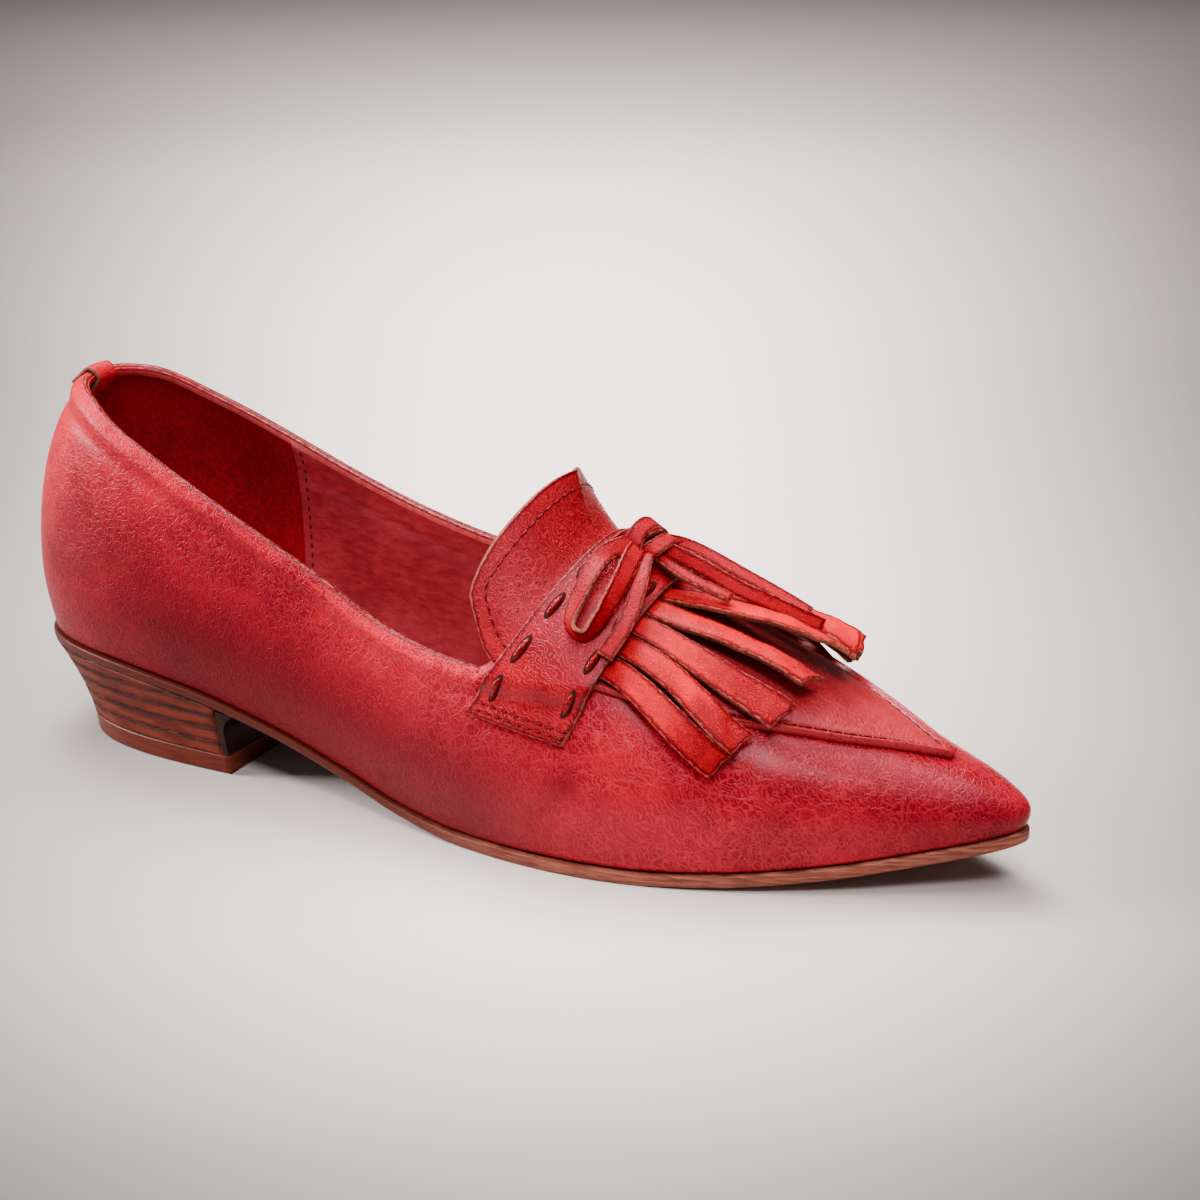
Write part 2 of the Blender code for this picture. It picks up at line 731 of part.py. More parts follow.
def strap_back(girth):
    """Where the strap's back edge lies at a girth from the ridge."""
    return STRAP_BACK * SHOE_LENGTH - STRAP_SWEEP_BACK * (girth / STRAP_REACH_BACK) ** 2


def strap_front(girth):
    """Where the strap's front edge lies at a girth from the ridge."""
    return STRAP_BACK * SHOE_LENGTH + STRAP_WIDTH - STRAP_SWEEP_FRONT * (girth / STRAP_REACH_FRONT) ** 2


def ease(value, start, end):
    """0 before start, 1 after end, and a soft step between them."""
    t = min(max((value - start) / (end - start), 0), 1)
    return t * t * (3 - 2 * t)


def apron(material):
    """The panel over the toes, with its raised lip, lying on the upper."""
    shares = [*np.linspace(APRON_BACK, 0.90, 12), *np.linspace(0.90, APRON_TIP, 6)[1:]]
    top, under = [], []
    for x in np.array(shares) * SHOE_LENGTH:
        reach = APRON_GIRTH * float(apron_girth(share(x)))
        lip = min(LIP_WIDTH, reach * 0.42)
        flat = np.linspace(-1, 1, 11) * (reach - lip)
        lip_spots = [-reach, -reach + lip * 0.25, -reach + lip * 0.7]
        lip_heights = [LIP_HEIGHT * 0.6, LIP_HEIGHT, LIP_HEIGHT * 0.92]
        girths = [*lip_spots, *flat, *(-spot for spot in lip_spots[::-1])]
        heights = [*lip_heights, *[APRON_THICKNESS] * len(flat), *lip_heights[::-1]]
        top.append([over_skin(x, g, GAP + h) for g, h in zip(girths, heights)])
        under.append([over_skin(x, g, GAP) for g in girths])
    return slab("apron", np.array(top), np.array(under), material)


def saddle_strap(material):
    """The strap across the instep, raised over the kiltie and stitched down at both ends."""
    top, under = [], []
    for along in np.linspace(-1, 1, 27):
        top_row, under_row = [], []
        for across in (0, 0.06, 0.35, 0.65, 0.94, 1):
            thin = STRAP_EDGE_ROUND if across in (0, 1) else 0
            girth = along * (STRAP_REACH_BACK + (STRAP_REACH_FRONT - STRAP_REACH_BACK) * across)
            x = strap_back(girth) + (strap_front(girth) - strap_back(girth)) * across
            edge_below = TONGUE_BASE_GIRTH + (KILTIE_HALF_GIRTH - TONGUE_BASE_GIRTH) * across
            drop = ease(abs(girth), *(edge_below + past for past in STRAP_STEP_DOWN))
            height = STRAP_UNDER + (GAP - STRAP_UNDER) * drop
            under_row.append(over_skin(x, girth, height))
            top_row.append(over_skin(x, girth, height + STRAP_THICKNESS - thin))
        top.append(top_row)
        under.append(under_row)
    return slab("saddle_strap", np.array(top), np.array(under), material)


def tongue(material):
    """The flap that flares up behind the strap, its top edge rounded down to both sides."""
    crest = on_skin(STRAP_BACK * SHOE_LENGTH, 0)
    spread = np.linspace(-1, 1, 15)
    layers = []
    for depth in (TONGUE_THICKNESS, 0):
        height = KILTIE_UNDER + depth
        rows = []
        for held in (TONGUE_HELD, TONGUE_HELD / 2, GAP):
            girths = spread * TONGUE_BASE_GIRTH
            rows.append([over_skin(strap_back(g) + held, g, height) for g in girths])
        for climb in (0.06, 0.16, 0.30, 0.45, 0.62, 0.80, 1.0):
            row = []
            for across in spread:
                girth = across * TONGUE_BASE_GIRTH
                start = over_skin(strap_back(girth) - GAP, girth, height)
                bend = over_skin(strap_back(girth) - TONGUE_BEND, girth, height + GAP)
                out = np.array([0.75, across * 0.55, 0.4])
                end = crest + tongue_rim(across) + out / np.linalg.norm(out) * depth
                first = (1 - climb) ** 2 * start + 2 * climb * (1 - climb) * bend
                row.append(first + climb ** 2 * end)
            rows.append(row)
        layers.append(np.array(rows))
    return slab("tongue", layers[0], layers[1], material)


def tongue_rim(across):
    """The tongue's top edge, from the ridge under the strap's back edge."""
    wide = abs(across)
    back = TONGUE_LEAN + (TONGUE_SWEEP - TONGUE_LEAN) * wide ** 0.9
    return np.array([-back, across * TONGUE_HALF_WIDTH, TONGUE_RISE - TONGUE_FALL * wide ** 1.65])


def kiltie_fringe(material):
    """The fringe: one piece of leather under the strap, cut into strips that lie over the toes."""
    pitch = 2 * KILTIE_HALF_GIRTH / FRINGE_STRIPS
    shares = np.array([-0.5, 0.0, 0.5])
    band = (0.0, 0.5, 1.0)
    steps = np.linspace(0, 1, 9)[1:]
    columns = [(k, s) for k in range(FRINGE_STRIPS) for s in shares]
    layers = {0: [], KILTIE_THICKNESS: []}
    for depth, grid in layers.items():
        for part in band:
            row = []
            for k, s in columns:
                girth = (k + 0.5 - FRINGE_STRIPS / 2) * pitch + s * FRINGE_STRIP_WIDTH
                back = strap_back(girth) + KILTIE_BEHIND_EDGE
                front = strap_front(girth) + FRINGE_START
                row.append(over_skin(back + (front - back) * part, girth, KILTIE_UNDER + depth))
            grid.append(row)
        for t in steps:
            row = []
            for k, s in columns:
                root = (k + 0.5 - FRINGE_STRIPS / 2) * pitch
                start = strap_front(root + s * FRINGE_STRIP_WIDTH) + FRINGE_START
                tip_girth = FRINGE["girth"][k] * KILTIE_HALF_GIRTH
                end = strap_front(0) + FRINGE_REACH * FRINGE["reach"][k]
                end -= FRINGE_CUT * s * math.copysign(1, tip_girth)
                x = start + (end - start) * t
                girth = root + (tip_girth - root) * ease(t, 0, 1) + s * FRINGE_STRIP_WIDTH
                lift = 4 * t * (1 - t) * FRINGE["middle"][k] + t ** 2 * FRINGE["end"][k]
                height = KILTIE_UNDER + KILTIE_THICKNESS * lift + depth
                row.append(over_skin(x, girth, height))
            grid.append(row)
    leather = np.ones((len(band) + len(steps) - 1, len(columns) - 1), bool)
    for k in range(1, FRINGE_STRIPS):
        leather[len(band) - 1:, 3 * k - 1] = False
    return slab("kiltie_fringe", np.array(layers[KILTIE_THICKNESS]), np.array(layers[0]), material, leather)


def thong(name, route, sideways, material):
    """A flat leather thong along a route, its width turned as near to sideways as it can be."""
    route = np.array(route)
    pace = np.concatenate([[0], np.cumsum(np.linalg.norm(np.diff(route, axis=0), axis=1))])
    t = np.linspace(0, pace[-1], 17)
    path = np.stack([Curve(pace, route[:, k])(t) for k in range(3)], 1)
    top, under = [], []
    for place, ahead in zip(path, np.gradient(path, axis=0)):
        ahead = ahead / np.linalg.norm(ahead)
        side = np.array(sideways) - ahead * np.dot(sideways, ahead)
        side = side / np.linalg.norm(side)
        up = np.cross(ahead, side) * THONG_THICKNESS / 2
        across = [place + side * w * THONG_WIDTH / 2 for w in (-1, 0, 1)]
        top.append([spot + up for spot in across])
        under.append([spot - up for spot in across])
    return slab(name, np.array(top), np.array(under), material)


def knot_body(name, centre, forward, material):
    """The wrapped knot: a full rounded body with a waist where the thong crosses it."""
    forward = forward / np.linalg.norm(forward)
    side = np.array([0, 1.0, 0])
    up = np.cross(forward, side)
    rings, around = 9, 14
    points, faces = [centre - forward * KNOT_LENGTH / 2], []
    for r in range(1, rings):
        angle = math.pi * r / rings
        out = math.sin(angle) ** 0.55 * (1 - 0.12 * math.exp(-(math.cos(angle) / 0.25) ** 2))
        for k in range(around):
            turn = 2 * math.pi * k / around
            wide = side * math.cos(turn) * out * KNOT_WIDTH / 2
            tall = up * math.sin(turn) * out * KNOT_HEIGHT / 2
            points.append(centre - forward * math.cos(angle) * KNOT_LENGTH / 2 + wide + tall)
    points.append(centre + forward * KNOT_LENGTH / 2)
    for k in range(around):
        n = (k + 1) % around
        faces.append([0, 1 + n, 1 + k])
        faces.append([len(points) - 1, len(points) - 1 - around + k, len(points) - 1 - around + n])
        for r in range(rings - 2):
            a = 1 + r * around
            faces.append([a + k, a + n, a + around + n, a + around + k])
    return piece(name, points, faces, material)


def bow(material):
    """The tied thong on the strap: a knot, two loops and two ends, in one piece."""
    seat = STRAP_BACK * SHOE_LENGTH + KNOT_PLACE
    lift = STRAP_OVER + 2 * GAP + KNOT_HEIGHT / 2
    centre = over_skin(seat, 0, lift)
    forward = over_skin(seat + KNOT_LENGTH / 4, 0, lift) - over_skin(seat - KNOT_LENGTH / 4, 0, lift)

    def route(*spots):
        """Points over the strap or the fringe: along from the knot, girth, and height in knots."""
        return [over_skin(seat + x, girth, STRAP_OVER + h * KNOT_HEIGHT) for x, girth, h in spots]

    near_loop = route(
        (-0.0030, 0, 0.60), (-0.0050, -0.0080, 0.55), (-0.0085, -0.0170, 0.47), (-0.0088, -0.0245, 0.41),
        (-0.0055, -0.0290, 0.38), (-0.0020, -0.0255, 0.41), (-0.0010, -0.0165, 0.52),
        (0.0004, -0.0080, 0.58), (0.0005, 0, 0.60),
    )
    far_loop = route(
        (0.0030, -0.0015, 0.60), (0.0110, -0.0030, 0.62), (0.0215, -0.0034, 0.72), (0.0310, -0.0024, 0.78),
        (0.0355, 0.0004, 0.80), (0.0310, 0.0034, 0.82), (0.0215, 0.0046, 0.82),
        (0.0110, 0.0040, 0.74), (0.0030, 0.0018, 0.66),
    )
    near_end = route(
        (0.0020, 0, 0.52), (0.0040, -0.0090, 0.36), (0.0048, -0.0170, 0.24),
        (0.0044, -0.0250, 0.20), (0.0030, -0.0315, 0.20),
    )
    far_end = route(
        (0.0020, 0.0010, 0.58), (0.0036, 0.0100, 0.36), (0.0046, 0.0180, 0.24),
        (0.0040, 0.0260, 0.20), (0.0026, 0.0330, 0.20),
    )
    slanted, upright, level = (0.5, -0.3, 0.8), (0, 0.25, 1), (1, 0, 0.05)
    knot = knot_body("bow", centre, forward, material)
    parts = [
        thong("bow_near_loop", near_loop, slanted, material),
        thong("bow_far_loop", far_loop, upright, material),
        thong("bow_near_end", near_end, level, material),
        thong("bow_far_end", far_end, level, material),
    ]
    for part in parts:
        part.hide_render = True
        part.display_type = "WIRE"
        join = knot.modifiers.new(part.name, "BOOLEAN")
        join.operation = "UNION"
        join.object = part
    return knot


def back_tab(material):
    """The small leather tab folded over the top of the back seam."""
    back, fan = -math.pi / 2, HEEL_FAN * SHOE_LENGTH
    wide = TAB_WIDTH / 2 / (fan - GAP)
    turns = [(-1, back + wide * k / 3) for k in (3, 2, 1)] + [(1, back + wide * k / 3) for k in range(4)]
    wall = wall_at(0)
    top, under = [], []
    for side, turn in turns:
        share_up = collar_share(side, fan, turn)
        rim = section(side, fan, turn, share_up)
        rise = rim - section(side, fan, turn, share_up - 0.02)
        rise = rise / np.linalg.norm(rise)
        out = skin_normal(side, fan, turn, share_up)
        folds = {}
        for depth in (GAP, GAP + TAB_THICKNESS):
            crown = UPPER_WALL * CROWN + depth
            folds[depth] = [
                rim - rise * TAB_DROP + out * (depth + GAP * 2),
                rim - rise * TAB_DROP * 0.5 + out * (depth + GAP),
                rim + out * depth,
                rim - out * (wall * 0.15 - depth * 0.35) + rise * crown * 0.8,
                rim - out * wall * 0.5 + rise * crown,
                rim - out * (wall * 0.85 + depth * 0.35) + rise * crown * 0.8,
                rim - out * (wall + depth),
                rim - rise * TAB_DROP * 0.5 - out * (wall + depth),
                rim - rise * TAB_DROP - out * (wall_at(TAB_DROP) + GAP * 2 + depth),
            ]
        under.append(folds[GAP])
        top.append(folds[GAP + TAB_THICKNESS])
    return slab("back_tab", np.array(top), np.array(under), material)


def build():
    """Every piece of the shoe."""
    for item in list(bpy.data.objects):
        bpy.data.objects.remove(item)
    upper(finish("upper_leather", RED, 0.38))
    outsole(finish("outsole_leather", TAN, 0.50))
    insole(finish("insole_leather", LINING_RED, 0.62))
    heel()
    heel_breast_facing(finish("breast_leather", TAN, 0.45))
    tongue(finish("tongue_leather", RED, 0.42))
    apron(finish("apron_leather", RED, 0.40))
    kiltie_fringe(finish("fringe_leather", RAW_RED, 0.48))
    saddle_strap(finish("strap_leather", RED, 0.38))
    bow(finish("bow_leather", RAW_RED, 0.48))
    back_tab(finish("tab_leather", RED, 0.42))


build()
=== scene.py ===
# %% [markdown]
# # A tassel loafer in burnished red leather
# A loafer is built on a last, a form with the shape of a foot. The leather is pulled over it,
# so every panel of the shoe follows one surface. This lesson does the same: it works out the
# last's skin once, and cuts each panel, strap and fringe from it at its own height.
# The first cell loads the shoe's plain solids, which fix every size in this scene.

# %% Load the frame
import math

import bmesh
import bpy
import numpy as np
from mathutils import Matrix


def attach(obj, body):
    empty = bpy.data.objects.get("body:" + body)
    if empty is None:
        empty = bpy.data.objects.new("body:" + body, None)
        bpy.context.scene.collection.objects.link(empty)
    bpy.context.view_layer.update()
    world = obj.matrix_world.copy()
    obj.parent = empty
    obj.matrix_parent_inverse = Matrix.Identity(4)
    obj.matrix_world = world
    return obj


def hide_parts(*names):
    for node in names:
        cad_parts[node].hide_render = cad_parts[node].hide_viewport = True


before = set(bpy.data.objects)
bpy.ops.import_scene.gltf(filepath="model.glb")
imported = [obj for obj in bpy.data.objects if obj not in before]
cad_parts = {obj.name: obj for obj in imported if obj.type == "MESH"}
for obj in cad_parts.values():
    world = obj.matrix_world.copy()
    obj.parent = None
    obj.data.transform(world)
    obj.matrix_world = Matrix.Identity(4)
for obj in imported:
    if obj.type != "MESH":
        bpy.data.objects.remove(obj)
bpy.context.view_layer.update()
print("solids:", ", ".join(sorted(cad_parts)))

# %% [markdown]
# ## The camera
# The photograph was taken with a long lens from above the outer side, a little in front.
# A long lens keeps the toe from looking larger than the heel. The camera's turn, height and
# distance were fitted to the shoe, and the small roll makes the floor lie as it does there.

# %% Place the camera
AZIMUTH, ELEVATION, ROLL = (math.radians(a) for a in (26.93, 20.06, -0.293))
TARGET = np.array([0.1339, -0.0299, 0.0661])
DISTANCE = 0.577

back = np.array([
    math.sin(AZIMUTH) * math.cos(ELEVATION),
    -math.cos(AZIMUTH) * math.cos(ELEVATION),
    math.sin(ELEVATION),
])
right = np.cross(-back, (0, 0, 1))
right /= np.linalg.norm(right)
up = np.cross(right, -back)
turned_right = math.cos(ROLL) * right + math.sin(ROLL) * up
turned_up = math.cos(ROLL) * up - math.sin(ROLL) * right
camera = bpy.data.objects.new("camera", bpy.data.cameras.new("camera"))
place = np.eye(4)
place[:3, 0], place[:3, 1], place[:3, 2] = turned_right, turned_up, back
place[:3, 3] = TARGET + back * DISTANCE
camera.matrix_world = Matrix(place.tolist())
camera.data.lens = 78
camera.data.sensor_width = 36
camera.data.clip_start = 0.01
bpy.context.collection.objects.link(camera)
bpy.context.scene.camera = camera
print("camera at", place[:3, 3].round(3))

# %% [markdown]
# ## The last
# A last is described the way a maker measures one: an outline, a side profile and a set of
# cross-sections. Each table below has one row for each station along the shoe, as shares of
# the driving sizes, and a smooth curve runs through its rows. Lengths run from the back.

# %% Sizes of the shoe, in metres
SHOE_LENGTH, BALL_WIDTH, INSTEP_HEIGHT = 0.260, 0.080, 0.070
HEEL_HEIGHT, TOE_SPRING, TOE_SWING = 0.0248, 0.0115, 0.004
UPPER_WALL, COLLAR_ROLL, FOOT_ROUND, LASTING_MARGIN = 0.0018, 0.0009, 0.0012, 0.006
SOLE_THICKNESS, SOLE_PROUD, INSOLE_THICKNESS, GAP = 0.003, 0.001, 0.0015, 0.0003
TOP_LIFT, HEEL_BASE_INSET, HEEL_BASE_LENGTH, HEEL_BASE_WIDTH = 0.005, 0.010, 0.053, 0.0464
HEEL_CENTRE = HEEL_BASE_INSET + HEEL_BASE_LENGTH / 2
HEEL_FRONT = HEEL_BASE_INSET + HEEL_BASE_LENGTH
LIFT = (HEEL_HEIGHT - TOP_LIFT) / 5
HEEL_FAN, TOE_FAN, THROAT_BACK, THROAT_FRONT = 0.138, 0.954, 0.540, 0.614

OUTLINE = np.array([  # along, half width on the outer side, on the inner side
    (0.000, 0.000, 0.000), (0.008, 0.130, 0.130), (0.035, 0.222, 0.222), (0.080, 0.285, 0.280),
    (0.150, 0.322, 0.310), (0.230, 0.332, 0.300), (0.320, 0.338, 0.275), (0.410, 0.362, 0.268),
    (0.500, 0.415, 0.305), (0.580, 0.455, 0.374), (0.650, 0.458, 0.432), (0.720, 0.420, 0.446),
    (0.800, 0.338, 0.393), (0.880, 0.232, 0.289), (0.940, 0.140, 0.180), (0.982, 0.070, 0.088),
    (1.000, 0.000, 0.000),
]).T
PROFILE = np.array([  # along, share of the heel, share of the toe spring, thickness of the sole
    (0.00, 1.000, 0.00, 0.80), (0.10, 0.955, 0.00, 0.80), (0.20, 0.840, 0.00, 0.80),
    (0.30, 0.605, 0.00, 0.76), (0.38, 0.340, 0.00, 0.78), (0.45, 0.110, 0.00, 0.85),
    (0.51, 0.015, 0.00, 0.95), (0.56, 0.000, 0.00, 1.00), (0.68, 0.000, 0.00, 1.00),
    (0.76, 0.000, 0.07, 1.00), (0.84, 0.000, 0.27, 1.00), (0.92, 0.000, 0.60, 1.00),
    (1.00, 0.000, 1.00, 1.00),
]).T
SECTIONS = np.array([  # along, ridge height, swell outside, swell inside, widest at, fullness
    (0.00, 1.520, 0.030, 0.030, 0.24, 2.00), (0.15, 1.500, 0.050, 0.050, 0.24, 2.10),
    (0.30, 1.400, 0.055, 0.067, 0.24, 2.20), (0.42, 1.240, 0.050, 0.077, 0.24, 2.10),
    (0.52, 1.080, 0.045, 0.067, 0.24, 2.00), (0.60, 0.930, 0.040, 0.052, 0.26, 1.90),
    (0.70, 0.760, 0.033, 0.038, 0.28, 1.90), (0.80, 0.600, 0.025, 0.028, 0.30, 1.95),
    (0.90, 0.455, 0.020, 0.020, 0.32, 2.00), (1.00, 0.330, 0.013, 0.013, 0.36, 2.20),
]).T
TOPLINE = np.array([  # along, height of the collar outside, inside
    (0.00, 1.335, 1.335), (0.06, 1.300, 1.300), (0.13, 1.220, 1.200), (0.20, 1.115, 1.085),
    (0.28, 0.985, 0.965), (0.36, 0.850, 0.870), (0.44, 0.715, 0.800), (0.50, 0.665, 0.765),
    (0.54, 0.650, 0.750),
]).T
print("shoe", SHOE_LENGTH * 1000, "mm long,", BALL_WIDTH * 1000, "mm at the ball")


# %% Rows of points, and curves through the tables
def unit(vectors):
    """The same directions, each of length one."""
    return vectors / np.linalg.norm(vectors, axis=-1, keepdims=True)


def tape(points):
    """Lengths along a row of points, as a tape measure gives them."""
    return np.concatenate([[0], np.cumsum(np.linalg.norm(np.diff(points, axis=0), axis=1))])


class Curve:
    """A smooth curve through the rows of a table, bending as evenly as it can."""

    def __init__(self, x, y):
        self.x, self.y = np.asarray(x, float), np.asarray(y, float)
        step = np.diff(self.x)
        rise = np.diff(self.y) / step
        matrix, wanted = np.eye(len(self.x)), np.zeros(len(self.x))
        for i in range(1, len(self.x) - 1):
            matrix[i, i - 1:i + 2] = step[i - 1], 2 * (step[i - 1] + step[i]), step[i]
            wanted[i] = 6 * (rise[i] - rise[i - 1])
        self.bend, self.step = np.linalg.solve(matrix, wanted), step

    def __call__(self, q):
        i = np.clip(np.searchsorted(self.x, q, side="right") - 1, 0, len(self.x) - 2)
        h, a, b = self.step[i], self.x[i + 1] - q, q - self.x[i]
        curved = (self.bend[i] * a ** 3 + self.bend[i + 1] * b ** 3) / (6 * h)
        before = (self.y[i] / h - self.bend[i] * h / 6) * a
        return curved + before + (self.y[i + 1] / h - self.bend[i + 1] * h / 6) * b


class SteadyCurve:
    """A smooth curve that never swings past its rows, so level stretches stay level."""

    def __init__(self, x, y):
        self.x, self.y = np.asarray(x, float), np.asarray(y, float)
        self.step = np.diff(self.x)
        rise = np.diff(self.y) / self.step
        self.slope = np.zeros_like(self.y)
        for i in range(1, len(self.x) - 1):
            if rise[i - 1] * rise[i] > 0:
                a = 2 * self.step[i] + self.step[i - 1]
                b = self.step[i] + 2 * self.step[i - 1]
                self.slope[i] = (a + b) / (a / rise[i - 1] + b / rise[i])
        self.slope[0], self.slope[-1] = rise[0], rise[-1]

    def __call__(self, q):
        i = np.clip(np.searchsorted(self.x, q, side="right") - 1, 0, len(self.step) - 1)
        h = self.step[i]
        t = np.clip((q - self.x[i]) / h, 0, 1)
        start = (2 * t ** 3 - 3 * t ** 2 + 1) * self.y[i]
        start = start + (t ** 3 - 2 * t ** 2 + t) * h * self.slope[i]
        end = (3 * t ** 2 - 2 * t ** 3) * self.y[i + 1] + (t ** 3 - t ** 2) * h * self.slope[i + 1]
        return start + end


heel_share, spring_share, sole_share = (SteadyCurve(PROFILE[0], row) for row in PROFILE[1:])
ridge_height, swell_outer, swell_inner, widest, fullness = (
    Curve(SECTIONS[0], row) for row in SECTIONS[1:]
)
collar_height = {-1: SteadyCurve(*TOPLINE[[0, 1]]), 1: SteadyCurve(*TOPLINE[[0, 2]])}
print("ridge over the instep:", round(float(ridge_height(0.6)) * INSTEP_HEIGHT * 1000, 1), "mm")


# %% The sole's line and the last's columns
def share(x):
    """How far along the shoe a length from its back is."""
    return np.clip(x / SHOE_LENGTH, 0, 1)


def swing(x):
    """How far the middle line has turned to the inner side."""
    return TOE_SWING * share(x) ** 3


def under_sole(x):
    """Height of the outsole's underside."""
    return HEEL_HEIGHT * heel_share(share(x)) + TOE_SPRING * spring_share(share(x))


def over_sole(x):
    """Height of the outsole's upper face."""
    return under_sole(x) + SOLE_THICKNESS * sole_share(share(x))


def feather(x):
    """Height at which the upper stands on the sole."""
    return over_sole(x) + GAP


def draw_outline():
    """The sole's outline for each side, as many points from the back to the toe."""
    along, outer, inner = OUTLINE * ((SHOE_LENGTH,), (-BALL_WIDTH,), (BALL_WIDTH,))
    loop = np.concatenate([np.c_[along, outer], np.c_[along, inner][::-1][1:-1]])
    loop[:, 1] += swing(loop[:, 0])
    around = np.concatenate([loop[-4:], loop, loop[:5]])
    stride = np.linalg.norm(np.diff(around, axis=0), axis=1) ** 0.75
    pace = np.concatenate([[0], np.cumsum(stride)])
    t = np.linspace(pace[4], pace[4 + len(loop)], 4001)
    drawn = np.c_[Curve(pace, around[:, 0])(t), Curve(pace, around[:, 1])(t)]
    toe = int(np.argmax(drawn[:, 0]))
    return {-1: drawn[:toe + 1], 1: drawn[toe:][::-1]}


outline = draw_outline()


def edge(side, spine, turn):
    """The point of the outline that a column faces: straight sideways, or turned in a fan."""
    drawn = outline[side]
    if turn == 0:
        return np.array([spine, np.interp(spine, drawn[:, 0], drawn[:, 1])])
    away = drawn - (spine, swing(spine))
    faced = np.arctan2(away[:, 0], side * away[:, 1])
    keep = away[:, 0] * turn >= 0
    order = np.argsort(faced[keep])
    return np.array([np.interp(turn, faced[keep][order], drawn[keep][order, k]) for k in (0, 1)])


def facing(side, turn):
    """The level direction that a column faces."""
    return np.array([math.sin(turn), side * math.cos(turn)])


def section(side, spine, turn, v):
    """The last's skin up one column: v is 0 at the feather edge and 1 on the ridge."""
    x, y = edge(side, spine, turn)
    middle = swing(spine)
    radius = math.hypot(x - spine, y - middle)
    swell = BALL_WIDTH * (swell_outer if side < 0 else swell_inner)(share(x))
    ridge = INSTEP_HEIGHT * ridge_height(share(spine))
    foot = feather(x)
    low = widest(share(spine)) * (ridge - foot)
    power = 2 / fullness(share(spine))
    v = np.asarray(v, float)
    below = np.clip(v / 0.25, 0, 1)
    above = np.clip((v - 0.25) / 0.75, 0, 1) * math.pi / 2
    side_out = radius + swell * np.sin(below * math.pi / 2)
    out = np.where(v < 0.25, side_out, (radius + swell) * np.cos(above) ** power)
    over_height = foot + low + (ridge - foot - low) * np.sin(above) ** power
    height = np.where(v < 0.25, foot + low * below, over_height)
    dx, dy = facing(side, turn)
    points = np.stack([spine + dx * out, middle + dy * out, height], -1)
    if turn > 0:
        fall = (ridge - INSTEP_HEIGHT * ridge_height(share(spine - 0.001))) / 0.001
        points[..., 2] += fall * (points[..., 0] - spine) * ((height - foot) / (ridge - foot)) ** 2
    return points


def section_normal(side, spine, turn, v):
    """The directions out of the last at the points of a column."""
    step, turn_step = (0.0004, 0) if turn == 0 else (0, 0.008)
    ahead = section(side, spine + step, turn + turn_step, v)
    along = ahead - section(side, spine - step, turn - turn_step, v)
    rise = section(side, spine, turn, np.clip(v + 0.004, 0, 1))
    rise = rise - section(side, spine, turn, np.clip(v - 0.004, 0, 1))
    normal = np.cross(along, rise) * -side
    length = np.linalg.norm(normal, axis=-1, keepdims=True)
    return np.where(length > 1e-14, normal / np.maximum(length, 1e-14), (0, 0, 1.0))


print("sole's toe stands", round(float(under_sole(SHOE_LENGTH)) * 1000, 1), "mm off the floor")

# %% [markdown]
# ## A map of the last's skin
# Straps and fringes are cut by two lengths that a tape measure gives: how far along the shoe,
# and the girth from the ridge over the foot (the outer side is negative). A grid of points
# over the last, read with straight lines between them, turns these two lengths into a place.

# %% Map the skin
GRID_X = np.arange(0.040, 0.2476, 0.0008)
GRID_GIRTH = np.arange(-0.1, 0.1001, 0.0005)


def map_skin():
    """The skin's points and normals over length and girth."""
    v = np.linspace(0, 1, 161)
    rows = []
    for x in GRID_X:
        points = np.concatenate([section(-1, x, 0, v), section(1, x, 0, v)[::-1][1:]])
        girth = tape(points)
        girth -= girth[len(v) - 1]
        rows.append(np.stack([np.interp(GRID_GIRTH, girth, points[:, k]) for k in range(3)], -1))
    skin_points = np.array(rows)
    normal = np.cross(np.gradient(skin_points, axis=0), np.gradient(skin_points, axis=1))
    length = np.linalg.norm(normal, axis=-1, keepdims=True)
    return skin_points, normal / np.maximum(length, 1e-12)


SKIN, SKIN_NORMAL = map_skin()


def read_map(grid, x, girth):
    """A value of the map between its points."""
    i, a = np.divmod((np.asarray(x, float) - GRID_X[0]) / (GRID_X[1] - GRID_X[0]), 1)
    j, b = np.divmod((np.asarray(girth, float) - GRID_GIRTH[0]) / 0.0005, 1)
    i = np.clip(i, 0, len(GRID_X) - 2).astype(int)
    j = np.clip(j, 0, len(GRID_GIRTH) - 2).astype(int)
    a, b = a[..., None], b[..., None]
    near = grid[i, j] * (1 - b) + grid[i, j + 1] * b
    return near * (1 - a) + (grid[i + 1, j] * (1 - b) + grid[i + 1, j + 1] * b) * a


def over_skin(x, girth, height=0.0):
    """Points at a height over the last's skin."""
    x, girth, height = np.broadcast_arrays(x, girth, height)
    return read_map(SKIN, x, girth) + read_map(SKIN_NORMAL, x, girth) * height[..., None]


print("map of", SKIN.shape[0], "by", SKIN.shape[1], "points")

# %% [markdown]
# ## Node helpers
# A material here is a net of small nodes. One helper makes a node and fills or links its
# inputs by name. The others write sums, products, mixes and soft steps in one line each.


# %% Helpers for node trees
def add(tree, kind, props=None, **inputs):
    """A node with its properties, and its inputs filled or linked by name or by number."""
    node = tree.nodes.new(kind)
    for key, value in (props or {}).items():
        setattr(node, key, value)
    for key, value in inputs.items():
        socket = node.inputs[int(key[1:]) if key[1:].isdigit() else key.replace("_", " ")]
        if isinstance(value, bpy.types.NodeSocket):
            tree.links.new(value, socket)
        else:
            socket.default_value = value
    return node


def calc(tree, operation, a, b=0.0):
    """One step of arithmetic."""
    return add(tree, "ShaderNodeMath", {"operation": operation}, i0=a, i1=b).outputs[0]


def times(tree, value, *others):
    """The product of several values."""
    for other in others:
        value = calc(tree, "MULTIPLY", value, other)
    return value


